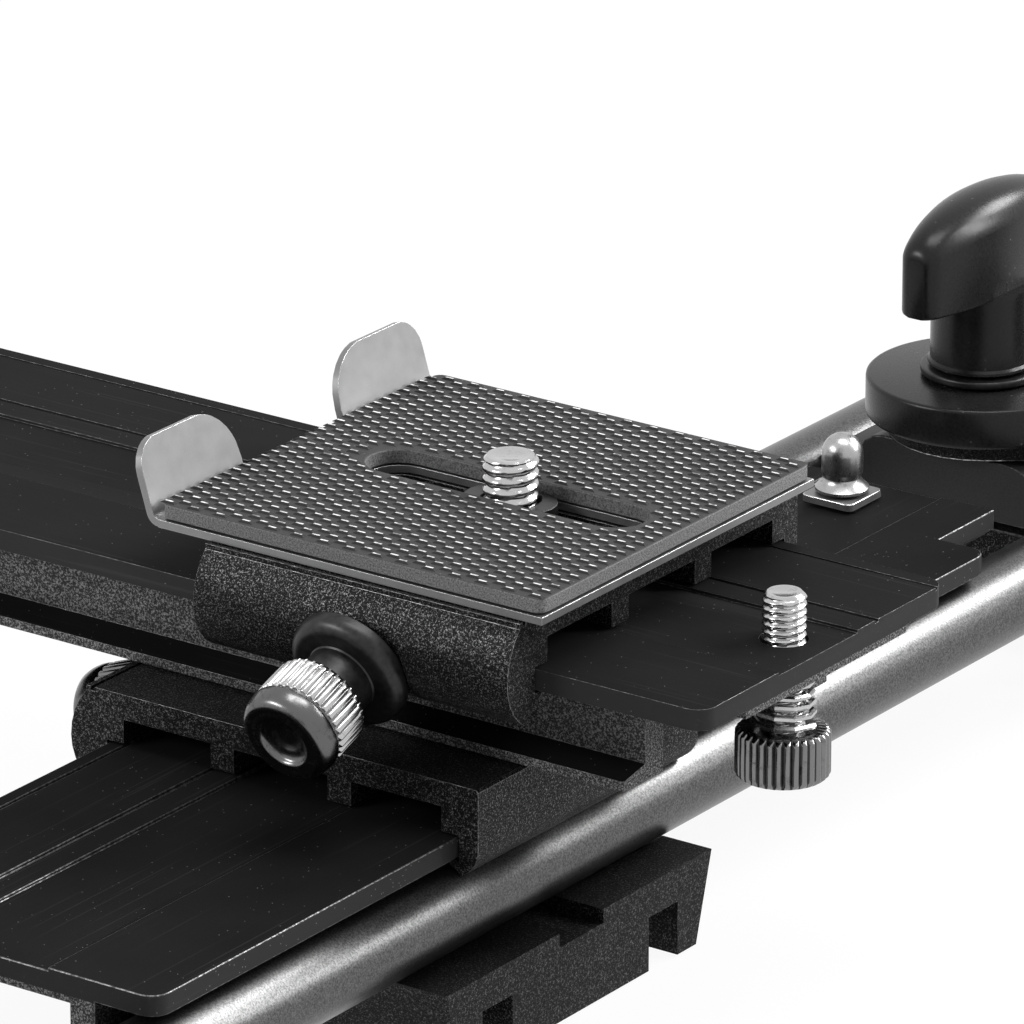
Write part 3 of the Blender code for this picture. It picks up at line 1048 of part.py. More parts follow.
def build_shoe(label, turn, arm_frame, shoe_frame, screw_frame):
    """The fork on the arm's front end, the cold shoe that tilts in it and the screw through both."""
    here = turn @ at(ARM_LENGTH, 0)
    wide, inner = FORK_HALF_WIDTH, FORK_HALF_WIDTH - FORK_CHEEK
    base_top = FORK_BOTTOM + FORK_BASE
    top = HINGE_AXIS + HINGE_RADIUS
    reach = HINGE_RADIUS
    outline = [(-wide, FORK_BOTTOM), (wide, FORK_BOTTOM), (wide, top), (inner, top), (inner, base_top),
               (-inner, base_top), (-inner, top), (-wide, top)]
    fork_shape = prism(outline, "X", -reach, reach)
    fork = add_piece(label + "_shoe_fork", moved(fork_shape, here), BLACK_ANODISED, arm_frame)
    below, outside = FORK_BOTTOM - CUT_EXTRA, wide + CUT_EXTRA
    cheek = arc((0, HINGE_AXIS), reach, 0, HALF_TURN, SMALL_STEPS) + [(-reach, below), (reach, below)]
    carve(fork, "round_top", moved(prism(cheek, "Y", -outside, outside), here), "INTERSECT")
    pin = at(0, 0, HINGE_AXIS) @ ALONG_Y
    carve(fork, "pin_hole", moved(rod(M4 + BORE_CLEARANCE, -outside, outside), here @ pin))
    screw_top = FORK_BOTTOM + FORK_BASE - FORK_TAP_ROOF
    tap = rod(M4 + BORE_CLEARANCE, FORK_BOTTOM - CUT_EXTRA, screw_top + GAP)
    carve(fork, "foot_tap", moved(tap, here))
    foot_screw = headed(M4, screw_top, M4_HEAD_RADIUS, ARM_BOTTOM - GAP - FORK_SCREW_HEAD, ARM_BOTTOM - GAP)
    add_piece(label + "_fork_screw", moved(foot_screw, here), BLACK_OXIDE, arm_frame)
    build_cold_shoe(label, here, inner, shoe_frame)
    head_start, head, edge = wide + GAP, TILT_HEAD_RADIUS, SCREW_CHAMFER
    head_end, nut_end = head_start + TILT_HEAD, -wide - GAP
    knurl = turned([(0, nut_end - TILT_NUT), (M4, nut_end - TILT_NUT), (M4, head_start),
                    (head - edge, head_start), (head, head_start + edge), (head, head_end - edge),
                    (head - edge, head_end), (0, head_end)])
    add_piece(label + "_tilt_screw", moved(knurl, here @ pin), CHROME, screw_frame)
    nut = prism(circle((0, 0), TILT_NUT_RADIUS, NUT_SIDES), "Z", nut_end - TILT_NUT, nut_end,
                [circle((0, 0), M4 + BORE_CLEARANCE, SMALL_STEPS)])
    add_piece(label + "_tilt_nut", moved(nut, here @ pin), BLACK_OXIDE, arm_frame)


def build_cold_shoe(label, here, fork_inner, frame):
    """A tongue that fits the fork, and the shoe with its slot along the arm."""
    floor = SHOE_BOTTOM + SHOE_FLOOR
    slot_top = floor + SHOE_SLOT_HEIGHT
    top = slot_top + SHOE_LIP
    wide, slot, mouth = SHOE_HALF_WIDTH, SHOE_SLOT_HALF_WIDTH, SHOE_MOUTH_HALF_WIDTH
    right = [(wide, SHOE_BOTTOM), (wide, top), (mouth, top), (mouth, slot_top), (slot, slot_top)]
    right.append((slot, floor))
    outline = right + [(-u, w) for u, w in reversed(right)]
    shoe_shape = prism(outline, "X", -SHOE_HALF_LENGTH, SHOE_HALF_LENGTH)
    shoe = add_piece(label + "_cold_shoe", moved(shoe_shape, here), BLACK_ANODISED, frame)
    thick, outside = fork_inner - GAP, fork_inner + CUT_EXTRA
    radius, inside = TONGUE_RADIUS, SHOE_BOTTOM + SHOE_FLOOR / 2
    tongue = arc((0, HINGE_AXIS), radius, -HALF_TURN, 0, SMALL_STEPS) + [(radius, inside), (-radius, inside)]
    carve(shoe, "tongue", moved(prism(tongue, "Y", -thick, thick), here), "UNION")
    pin = at(0, 0, HINGE_AXIS) @ ALONG_Y
    carve(shoe, "pin_hole", moved(rod(M4 + BORE_CLEARANCE, -outside, outside), here @ pin))


build_base()
build_tubes()
build_lower_rail()
build_lower_stage()
build_upper_rail()
build_captive_screw()
build_qr_carriage()
build_quick_release_plate()
build_camera_screw()
build_side("right", 1)
build_side("left", -1)
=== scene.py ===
import json
import math

import bmesh
import bpy
from mathutils import Matrix, Vector

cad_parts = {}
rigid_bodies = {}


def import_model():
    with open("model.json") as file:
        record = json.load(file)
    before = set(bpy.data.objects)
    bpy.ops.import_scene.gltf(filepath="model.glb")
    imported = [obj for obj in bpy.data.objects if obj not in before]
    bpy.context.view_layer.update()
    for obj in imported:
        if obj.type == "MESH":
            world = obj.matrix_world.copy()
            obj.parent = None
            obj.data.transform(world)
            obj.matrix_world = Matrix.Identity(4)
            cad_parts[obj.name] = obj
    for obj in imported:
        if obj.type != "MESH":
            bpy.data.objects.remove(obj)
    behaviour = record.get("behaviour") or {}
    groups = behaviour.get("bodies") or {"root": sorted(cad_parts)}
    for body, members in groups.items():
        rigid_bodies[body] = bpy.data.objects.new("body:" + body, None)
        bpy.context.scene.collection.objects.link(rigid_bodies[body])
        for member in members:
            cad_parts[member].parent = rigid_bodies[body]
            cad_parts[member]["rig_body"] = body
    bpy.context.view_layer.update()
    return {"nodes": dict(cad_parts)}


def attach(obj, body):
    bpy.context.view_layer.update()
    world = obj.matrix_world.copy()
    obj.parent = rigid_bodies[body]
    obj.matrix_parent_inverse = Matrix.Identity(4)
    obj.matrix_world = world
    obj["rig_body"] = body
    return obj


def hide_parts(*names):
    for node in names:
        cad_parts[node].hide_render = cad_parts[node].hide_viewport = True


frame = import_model()

MM = 0.001
ROUND = 96

# Places and sizes of the bracket's pieces, in millimetres, as its solids have them
RAIL_TOP_LOWER = 23.8
RAIL_TOP_UPPER = 43.3
RAIL_PLATE = 2.5
RAIL_HALF_WIDTH = 23.2
UPPER_CENTRE = 12.2
PAD_TOP = 52.2
SCREW_X = 10.8
SCREW_HEAD_BOTTOM = 44.1
SCREW_HEAD_TOP = 46.1
SCREW_TOP = 56.1
CAPTIVE_X = 46.3
CAPTIVE_HEAD_BOTTOM = 27.3
CAPTIVE_HEAD_TOP = 33.0
CAPTIVE_TOP = 48.3
STOP_Y = 93.8
NUT_FOOT = 25.05
CLAMP_Y = 123.5
TUBE_X = 20.6
TUBE_Z = 15.3
TUBE_RADIUS = 5.0
TUBE_HALF_LENGTH = 145.0
LOCK_TILT = math.radians(20)
ARM_TOE = math.radians(35)
ARM_REACH = 78.0
HINGE_Z = 39.7


# ---------- finishes ----------

class Value:
    """A socket in a node tree, so that its sums are written as plain expressions."""

    def __init__(self, nodes, socket):
        self.nodes = nodes
        self.socket = socket

    def sum_with(self, operation, other, swapped=False):
        """One sum of the tree; swapped puts the other value first."""
        pair = (other, self) if swapped else (self, other)
        return self.nodes.node("ShaderNodeMath", {"operation": operation}, {0: pair[0], 1: pair[1]})

    def __add__(self, other):
        return self.sum_with("ADD", other)

    def __radd__(self, other):
        return self.sum_with("ADD", other, True)

    def __sub__(self, other):
        return self.sum_with("SUBTRACT", other)

    def __rsub__(self, other):
        return self.sum_with("SUBTRACT", other, True)

    def __mul__(self, other):
        return self.sum_with("MULTIPLY", other)

    def __rmul__(self, other):
        return self.sum_with("MULTIPLY", other, True)

    def __lt__(self, other):
        return self.sum_with("LESS_THAN", other)

    def __gt__(self, other):
        return self.sum_with("GREATER_THAN", other)

    def __abs__(self):
        return self.sum_with("ABSOLUTE", 0.0)

    def between(self, low, high):
        """0 below low, 1 above high, with a soft ramp."""
        return self.nodes.node("ShaderNodeMapRange", {"interpolation_type": "SMOOTHSTEP", "clamp": True},
                               {"Value": self, "From Min": low, "From Max": high})


def grey(shade):
    """A neutral colour."""
    return (shade, shade, shade)


class Nodes:
    """The nodes of a finish or of the studio's world, all of them from one method."""

    def __init__(self, tree):
        self.tree = tree

    def feed(self, socket, value):
        """Link a value of the tree to a socket, or set the socket to a constant."""
        if isinstance(value, Value):
            self.tree.links.new(value.socket, socket)
        else:
            socket.default_value = value

    def node(self, kind, settings=None, inputs=None, output=0):
        """Any node: its settings first, then its inputs; gives back one of its outputs."""
        node = self.tree.nodes.new(kind)
        for name, value in (settings or {}).items():
            setattr(node, name, value)
        for name, value in (inputs or {}).items():
            self.feed(node.inputs[name], value)
        return Value(self, node.outputs[output])


class Finish(Nodes):
    """One material of the bracket: a Principled shader and what varies over it."""

    def __init__(self, name, colour, roughness, metallic=0.0, **fixed):
        self.material = bpy.data.materials.new(name)
        self.material.use_nodes = True
        super().__init__(self.material.node_tree)
        self.shader = self.tree.nodes["Principled BSDF"]
        self.set({"Base Color": (*colour, 1), "Roughness": roughness, "Metallic": metallic})
        self.set({name.replace("_", " ").title().replace("Ior", "IOR"): value for name, value in fixed.items()})

    def set(self, values):
        """Constants or links for the shader's own sockets."""
        for name, value in values.items():
            self.feed(self.shader.inputs[name], value)

    def place(self, stretch=(1, 1, 1)):
        """Places on the piece in millimetres, stretched if a pattern runs one way."""
        spot = self.node("ShaderNodeTexCoord", output="Object")
        factors = tuple(1000 * part for part in stretch)
        return self.node("ShaderNodeVectorMath", {"operation": "MULTIPLY"}, {0: spot, 1: factors})

    def upward(self):
        """How far the surface faces up or down: 1 on a level face, 0 on an upright one."""
        facing = self.node("ShaderNodeTexCoord", output="Normal")
        return abs(self.node("ShaderNodeSeparateXYZ", {}, {"Vector": facing}, output="Z"))

    def height(self):
        """Height in the piece's own frame, in millimetres."""
        return self.node("ShaderNodeSeparateXYZ", {}, {"Vector": self.place()}, output="Z")

    def noise(self, per_mm, detail=2.0, stretch=(1, 1, 1), rough=0.5):
        """Cloudy variation from 0 to 1."""
        return self.node("ShaderNodeTexNoise", {"noise_dimensions": "3D"},
                         {"Vector": self.place(stretch), "Scale": per_mm, "Detail": detail, "Roughness": rough})

    def specks(self, per_mm, size, share):
        """Little round specks: 1 inside a speck; share is how many of the cells hold one."""
        cells = self.node("ShaderNodeTexVoronoi", {"feature": "F1"}, {"Vector": self.place(), "Scale": per_mm})
        near = cells < size
        tint = self.node("ShaderNodeTexVoronoi", {"feature": "F1"}, {"Vector": self.place(), "Scale": per_mm},
                         output="Color")
        pick = self.node("ShaderNodeSeparateColor", {}, {"Color": tint}, output="Red") < share
        return near * pick

    def blend(self, mask, low, high):
        """A colour that runs from low to high with the mask."""
        return self.node("ShaderNodeMix", {"data_type": "RGBA"}, {0: mask, 6: (*low, 1), 7: (*high, 1)}, output=2)

    def relief(self, height, depth_mm, strength=1.0):
        """Bumps of that depth."""
        bump = self.node("ShaderNodeBump", {}, {"Height": height, "Distance": depth_mm * MM, "Strength": strength},
                         output="Normal")
        self.set({"Normal": bump})


def rail_black(name, direction, plate_bottom):
    """Satin black anodised extrusion: near black on top with dust and hairlines; its sides are painted paler and
    its legs carry painted glints in the colour.
    """
    finish = Finish(name, grey(0.006), 0.5, 0.0, specular_ior_level=0.015)
    brushed = {"X": (0.02, 6, 6), "Y": (6, 0.02, 6)}[direction]
    scratched = {"X": (0.03, 3, 3), "Y": (3, 0.03, 3)}[direction]
    lines = finish.noise(1.2, 3.0, brushed, 0.6)
    cloud = finish.noise(0.06, 3.0)
    dust = finish.specks(1.9, 0.13, 0.12)
    grit = finish.noise(4.4, 3.0, rough=0.8)
    hair = finish.noise(0.9, 1.0, scratched, 0.5).between(0.66, 0.74)
    side = 1.0 - finish.upward().between(0.35, 0.75)
    # painted highlight: bright grain glints painted into the colour of the sides below the plate
    painted_glint = grit.between(0.47, 0.62) * side * (finish.height() < plate_bottom)
    # dust, hairlines and cloud are the rail's own; the paler sides and the glints are painted light
    paler = dust * 0.5 + hair * 0.03 + painted_glint * 0.8 + cloud * 0.03 + side * 0.08
    finish.set({
        "Base Color": finish.blend(paler, grey(0.006), grey(0.3)),
        "Roughness": lines * 0.14 + cloud * 0.12 + 0.42 + dust * 0.1 - painted_glint * 0.15,
        "Metallic": side * 0.45,
    })
    finish.relief(lines * 0.12 + grit * 0.6, 0.03, 0.7)
    return finish.material


def blasted_black(name, base=0.012, painted_sparkle=1.0, size=4.2):
    """Bead-blasted black: fine pits, with a painted glint of light in the colour of each."""
    finish = Finish(name, grey(base), 0.42, 0.45, specular_ior_level=0.1)
    grain = finish.noise(size, 2.0, rough=0.8)
    fine = finish.noise(size * 2.1, 1.0)
    painted_glint = (grain * 0.6 + fine * 0.4).between(0.5, 0.7)
    cloud = finish.noise(0.1, 2.0)
    finish.set({
        # painted highlight: the glints brighten the base colour
        "Base Color": finish.blend(painted_glint * painted_sparkle, grey(base * 0.4), grey(0.24)),
        "Roughness": 0.46 - painted_glint * 0.16 + cloud * 0.1,
    })
    finish.relief(grain, 0.03, 0.9)
    return finish.material


def tube_grey():
    """Dark grey anodised tube with a fine even grain."""
    finish = Finish("grained grey tube", grey(0.1), 0.36, 0.95)
    grain = finish.noise(4.0, 3.0, rough=0.8)
    cloud = finish.noise(0.05, 2.0, (1, 0.3, 1))
    finish.set({
        "Base Color": finish.blend(grain.between(0.3, 0.7), grey(0.045), grey(0.15)),
        "Roughness": 0.24 + grain * 0.12 + cloud * 0.06,
    })
    finish.relief(grain, 0.014, 0.8)
    return finish.material


def chrome(name, shade, roughness, dirt=0.4):
    """Bright plating with faint swirls and a little grime in its hollows."""
    finish = Finish(name, grey(shade), roughness, 1.0)
    grime = finish.noise(0.9, 4.0, rough=0.65).between(0.52, 0.75)
    swirl = finish.noise(5.0, 2.0, (1, 1, 0.2))
    finish.set({
        "Base Color": finish.blend(grime * dirt, grey(shade), grey(shade * 0.35)),
        "Roughness": roughness + grime * 0.16 + swirl * 0.08,
    })
    finish.relief(swirl, 0.004, 0.6)
    return finish.material


def steel_sheet():
    """Grey zinc-plated sheet, fine grained and slightly mottled."""
    finish = Finish("plated sheet steel", grey(0.35), 0.42, 0.85)
    grain = finish.noise(9.0, 2.0)
    mottle = finish.noise(0.5, 3.0)
    finish.set({
        "Base Color": finish.blend(mottle * 0.5 + grain * 0.3, (0.17, 0.17, 0.171), (0.3, 0.3, 0.301)),
        "Roughness": 0.36 + mottle * 0.14,
    })
    finish.relief(grain * 0.6 + mottle * 0.4, 0.008, 0.7)
    return finish.material


def worn_edge(name, shade, roughness):
    """Where handling and machining have brightened an edge, in broken stretches."""
    finish = Finish(name, grey(shade), roughness, 0.9)
    wear = finish.noise(1.6, 4.0, rough=0.75).between(0.4, 0.62)
    finish.set({
        "Base Color": finish.blend(wear, grey(shade * 0.25), grey(shade)),
        "Roughness": roughness + 0.15 - wear * 0.12,
    })
    return finish.material


def oxide_black():
    """Black oxide on screws and collars, mottled."""
    finish = Finish("black oxide steel", grey(0.02), 0.35, 0.8)
    mottle = finish.noise(1.5, 3.0)
    finish.set({
        "Base Color": finish.blend(mottle, grey(0.012), grey(0.05)),
        "Roughness": 0.26 + mottle * 0.2,
    })
    finish.relief(mottle, 0.01, 0.5)
    return finish.material


def pad_rubber(name, base, wall):
    """Matt rubber with a fine tooth and pale dust; its cut walls are fuzzy and paler."""
    finish = Finish(name, grey(base), 0.7, 0.0, specular_ior_level=0.3)
    tooth = finish.noise(5.0, 3.0, rough=0.75)
    dust = finish.specks(2.6, 0.2, 0.08)
    side = 1.0 - finish.upward().between(0.4, 0.8)
    paler = side * (0.1 + tooth.between(0.3, 0.7)) + dust * 0.6 + tooth * 0.1
    finish.set({
        "Base Color": finish.blend(paler, grey(base * 0.8), grey(wall)),
        "Roughness": 0.55 + tooth * 0.25,
    })
    finish.relief(tooth, 0.06, 0.8)
    return finish.material


def bar_highlight_paint():
    """Painted highlights on the crowns of the pad's bars, brighter and darker from one to the next."""
    finish = Finish("painted highlights on the crowns of the pad's bars", grey(0.3), 0.4, 0.0, specular_ior_level=0.6)
    painted_highlight_patch = finish.noise(0.9, 3.0, rough=0.7).between(0.32, 0.62)
    finish.set({
        "Base Color": finish.blend(painted_highlight_patch, grey(0.1), grey(0.8)),
        "Roughness": 0.45 - painted_highlight_patch * 0.2,
    })
    finish.relief(finish.noise(5.0, 2.0), 0.04, 0.6)
    return finish.material


def knob_plastic():
    """Satin black moulded plastic with a faint orange-peel."""
    finish = Finish("satin knob plastic", (0.008, 0.008, 0.0085), 0.24, 0.0, specular_ior_level=0.22)
    peel = finish.noise(2.2, 2.0)
    fine = finish.noise(10.0, 2.0)
    dust = finish.specks(1.1, 0.12, 0.12)
    finish.set({
        "Base Color": finish.blend(dust * 0.5 + peel * 0.03, (0.007, 0.007, 0.0075), grey(0.16)),
        "Roughness": 0.2 + peel * 0.1 + fine * 0.06,
    })
    finish.relief(peel * 0.4 + fine * 0.6, 0.012, 0.6)
    return finish.material


def clamp_black():
    """Satin near-black of the clamps' lower blocks, finely grained."""
    finish = Finish("satin black clamp", grey(0.12), 0.45, 0.7)
    grain = finish.noise(6.0, 3.0, rough=0.7)
    finish.set({
        "Base Color": finish.blend(grain, grey(0.006), grey(0.045)),
        "Roughness": 0.38 + grain * 0.18,
    })
    finish.relief(grain, 0.03, 0.6)
    return finish.material


RAIL_ALONG_X = rail_black("black rail along X", "X", RAIL_TOP_UPPER - RAIL_PLATE)
RAIL_ALONG_Y = rail_black("black rail along Y", "Y", RAIL_TOP_LOWER - RAIL_PLATE)
CARRIAGE_BLACK = blasted_black("black carriage with painted glints")
BASE_BLACK = blasted_black("black base block", 0.012, 0.6, 3.6)
ARM_BLACK = blasted_black("black flash arm", 0.012, 0.4, 5.0)
TUBE_GREY = tube_grey()
CHROME = chrome("bright chrome", 0.5, 0.12)
# on the lower lock knob this darker chrome is painted shade
KNURL_DARK = chrome("dark knurled chrome", 0.2, 0.16, 0.7)
NUT_GREY = chrome("dull grey nut", 0.4, 0.24, 0.7)
FACE_GREY = chrome("dark knob face", 0.13, 0.2, 0.6)
SHEET_STEEL = steel_sheet()
SHEET_EDGE = chrome("polished sheet edge", 0.3, 0.2, 0.5)
EDGE_BRIGHT = worn_edge("brightened black edge", 0.5, 0.26)
RAIL_EDGE = worn_edge("polished rail edge", 0.2, 0.3)
EDGE_FAINT = worn_edge("faint black edge", 0.07, 0.4)
OXIDE = oxide_black()
RUBBER = pad_rubber("pad rubber", 0.02, 0.22)
RUBBER_DARK = pad_rubber("dark flanks of the bars", 0.012, 0.03)
BAR_HIGHLIGHT_PAINT = bar_highlight_paint()
PAD_EDGE = pad_rubber("grey cut edge of the pad", 0.04, 0.22)
PLASTIC = knob_plastic()
CLAMP = clamp_black()
WIRE = chrome("spring wire", 0.5, 0.2, 0.5)


# ---------- shapes ----------

def put(name, shape, materials, body, replaces=(), smooth=35):
    """Add a piece: it rides on its body and stands for the solids it replaces."""
    mesh = bpy.data.meshes.new(name)
    bmesh.ops.recalc_face_normals(shape, faces=shape.faces)
    shape.to_mesh(mesh)
    shape.free()
    for material in materials:
        mesh.materials.append(material)
    mesh.shade_smooth()
    mesh.set_sharp_from_angle(angle=math.radians(smooth))
    piece = bpy.data.objects.new(name, mesh)
    bpy.context.scene.collection.objects.link(piece)
    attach(piece, body)
    if replaces:
        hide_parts(*replaces)
    return piece


def softened(node, name, material, edge_material, width, segments=2, limit=28):
    """The node's own shape with its edges broken, and the broken edges in their own finish."""
    shape = bmesh.new()
    shape.from_mesh(frame["nodes"][node].data)
    bmesh.ops.remove_doubles(shape, verts=shape.verts, dist=1e-6)
    bmesh.ops.dissolve_limit(shape, angle_limit=math.radians(0.6), verts=shape.verts, edges=shape.edges,
                             delimit={"NORMAL"})
    body = frame["nodes"][node]["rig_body"]
    piece = put(name, shape, [material, edge_material], body, [node])
    edge = piece.modifiers.new("broken edges", "BEVEL")
    edge.width = width * MM
    edge.segments = segments
    edge.limit_method = "ANGLE"
    edge.angle_limit = math.radians(limit)
    edge.material = 1
    edge.harden_normals = True
    edge.use_clamp_overlap = True


def round_point(shape, radius, angle, height):
    """A vertex at that radius, angle and height, in millimetres."""
    return shape.verts.new((radius * MM * math.cos(angle), radius * MM * math.sin(angle), height * MM))


def skin(shape, near, far):
    """Faces between two rings; a ring of one point closes to it."""
    steps = max(len(near), len(far))
    for step in range(steps):
        following = (step + 1) % steps
        if len(near) == 1:
            shape.faces.new((near[0], far[following], far[step]))
        elif len(far) == 1:
            shape.faces.new((near[step], near[following], far[0]))
        else:
            shape.faces.new((near[step], near[following], far[following], far[step]))


def turned(profile, steps=ROUND, wave=None):
    """Turn (radius, height) points about Z, in millimetres; wave changes the radius with the angle."""
    shape = bmesh.new()
    rings = []
    for radius, height in profile:
        if radius == 0:
            rings.append([shape.verts.new((0, 0, height * MM))])
            continue
        angles = [2 * math.pi * step / steps for step in range(steps)]
        rings.append([round_point(shape, radius + (wave(angle, height) if wave else 0.0), angle, height)
                      for angle in angles])
    pairs = list(zip(rings, rings[1:]))
    if len(rings[0]) > 1 and len(rings[-1]) > 1:
        pairs.append((rings[-1], rings[0]))
    for lower, upper in pairs:
        skin(shape, lower, upper)
    return shape


def moved(shape, matrix):
    """The same shape, moved and turned."""
    bmesh.ops.transform(shape, matrix=matrix, verts=shape.verts)
    return shape


def at(x, y, z=0.0):
    """A move to that place, in millimetres."""
    return Matrix.Translation((x * MM, y * MM, z * MM))


def rounded(profile, radius, steps=3):
    """Round the corners of a turned profile, in millimetres; corners on the axis stay."""
    longest_share = 0.45
    points = []
    for index, corner in enumerate(profile):
        here = Vector(corner)
        if index in (0, len(profile) - 1) or corner[0] == 0:
            points.append(corner)
            continue
        before = Vector(profile[index - 1]) - here
        after = Vector(profile[index + 1]) - here
        reach = min(radius, before.length * longest_share, after.length * longest_share)
        start = here + before.normalized() * reach
        end = here + after.normalized() * reach
        for step in range(steps + 1):
            share = step / steps
            spot = start * (1 - share) ** 2 + here * 2 * share * (1 - share) + end * share ** 2
            points.append((spot.x, spot.y))
    return points


def threaded(outer, depth, pitch, bottom, top, chamfer, steps=48):
    """A threaded bar with a chamfered, slightly dished upper end: one skin that winds up round it."""
    rows_a_turn = 8
    flank_slope, root_share = 1.6, 0.25
    rim_share, dish_share, dish_depth = 0.72, 0.6, 0.12
    rows = int((top - bottom) / pitch * rows_a_turn)
    shape = bmesh.new()
    rings = []
    for row in range(rows + 1):
        height = bottom + (top - bottom) * row / rows
        ring = []
        for step in range(steps):
            turn = step / steps
            phase = (height / pitch - turn) % 1.0
            crest = min(1.0, max(0.0, flank_slope * (1 - abs(2 * phase - 1)) - root_share))
            radius = min(outer - depth * (1 - crest), outer - chamfer + (top - height))
            ring.append(round_point(shape, radius, 2 * math.pi * turn, height))
        rings.append(ring)
    for lower, upper in zip(rings, rings[1:]):
        skin(shape, lower, upper)
    shape.faces.new(rings[0])
    rim = [shape.verts.new((v.co.x * rim_share, v.co.y * rim_share, v.co.z)) for v in rings[-1]]
    dish = [shape.verts.new((v.co.x * dish_share, v.co.y * dish_share, v.co.z - dish_depth * MM))
            for v in rings[-1]]
    skin(shape, rings[-1], rim)
    skin(shape, rim, dish)
    shape.faces.new(dish)
    return shape


def joined(*shapes):
    """Several shapes as one."""
    whole = bmesh.new()
    for shape in shapes:
        mesh = bpy.data.meshes.new("step")
        shape.to_mesh(mesh)
        shape.free()
        whole.from_mesh(mesh)
        bpy.data.meshes.remove(mesh)
    return whole


def straight_knurl(teeth, depth, low, high):
    """Straight teeth between two heights: rounded crests, narrow grooves."""
    groove_sharpness = 2.2

    def wave(angle, height):
        if not low < height < high:
            return 0.0
        phase = (angle * teeth / (2 * math.pi)) % 1.0
        return -depth * max(0.0, abs(2 * phase - 1) ** groove_sharpness)
    return wave


# ---------- rails, carriages, base, clamps, arms ----------

softened("base_block", "base_block_body", BASE_BLACK, EDGE_BRIGHT, 0.25)
softened("lower_rail", "lower_rail_body", RAIL_ALONG_Y, RAIL_EDGE, 0.14)
softened("upper_rail", "upper_rail_body", RAIL_ALONG_X, RAIL_EDGE, 0.14)
softened("lower_carriage", "lower_carriage_body", CARRIAGE_BLACK, EDGE_BRIGHT, 0.16)
softened("qr_carriage", "qr_carriage_body", CARRIAGE_BLACK, EDGE_BRIGHT, 0.16)
for side in ("right", "left"):
    softened(side + "_clamp_saddle", side + "_saddle_body", BASE_BLACK, EDGE_FAINT, 0.3)
    softened(side + "_clamp_block", side + "_block_body", CLAMP, EDGE_FAINT, 0.3)
    softened(side + "_flash_arm", side + "_arm_plate", ARM_BLACK, EDGE_BRIGHT, 0.25)
    softened(side + "_shoe_fork", side + "_fork_body", ARM_BLACK, EDGE_FAINT, 0.3)
    softened(side + "_cold_shoe", side + "_shoe_body", ARM_BLACK, EDGE_BRIGHT, 0.25)
    softened(side + "_tilt_nut", side + "_nut_body", OXIDE, EDGE_FAINT, 0.2)


# ---------- tubes ----------

def tube(name, side):
    """A grained tube with broken ends and a black plug in each."""
    half, bore, broken = TUBE_HALF_LENGTH, 3.5, TUBE_RADIUS - 0.25
    profile = [(bore, -half), (broken, -half), (TUBE_RADIUS, -half + 0.3), (TUBE_RADIUS, half - 0.3),
               (broken, half), (bore, half)]
    barrel = moved(turned(profile), Matrix.Rotation(math.radians(-90), 4, "X"))
    put(name + "_barrel", moved(barrel, at(side * TUBE_X, 0, TUBE_Z)), [TUBE_GREY], "bracket",
        [name])
    for label, end in (("right", 1), ("left", -1)):
        cap = rounded([(0, 1.8), (4.95, 1.8), (4.95, 0.3), (3.2, 0.3), (3.2, -5.0), (0, -5.0)], 0.45)
        turn = Matrix.Rotation(math.radians(-90 * end), 4, "X")
        shape = moved(turned(cap, 64), at(side * TUBE_X, end * half, TUBE_Z) @ turn)
        put("%s_plug_%s" % (name, label), shape, [PLASTIC], "bracket",
            ["%s_cap_%s" % (name, label)])


tube("front_tube", 1)
tube("rear_tube", -1)


# ---------- end stop ----------

def end_stop():
    """A round-nosed nut: flared foot, narrow neck, plain barrel, domed crown."""
    barrel, nose, shoulder = 2.42, 2.38, NUT_FOOT + 4.5
    lower = [(0, 0), (3.05, 0), (3.18, 0.12), (3.16, 0.4), (2.5, 1.0), (2.18, 1.5), (2.18, 1.7), (2.38, 2.2),
             (barrel, 2.4)]
    crown = [(barrel * math.cos(math.radians(a)), shoulder + nose * math.sin(math.radians(a)))
             for a in range(0, 90, 6)]
    profile = [(radius, NUT_FOOT + height) for radius, height in lower] + crown + [(0, shoulder + nose)]
    put("end_stop_cap", moved(turned(profile), at(0, STOP_Y)), [NUT_GREY], "bracket",
        ["end_stop_nut"])
    softened("end_stop_washer", "end_stop_square", SHEET_STEEL, CHROME, 0.15)


end_stop()


# ---------- lock knobs ----------

def lock_frame(home, outward):
    """The knob's own frame: Z runs outward and down along the screw."""
    direction = (Vector(outward) * math.cos(LOCK_TILT) + Vector((0, 0, -math.sin(LOCK_TILT)))).normalized()
    return at(*home) @ direction.to_track_quat("Z", "Y").to_matrix().to_4x4()


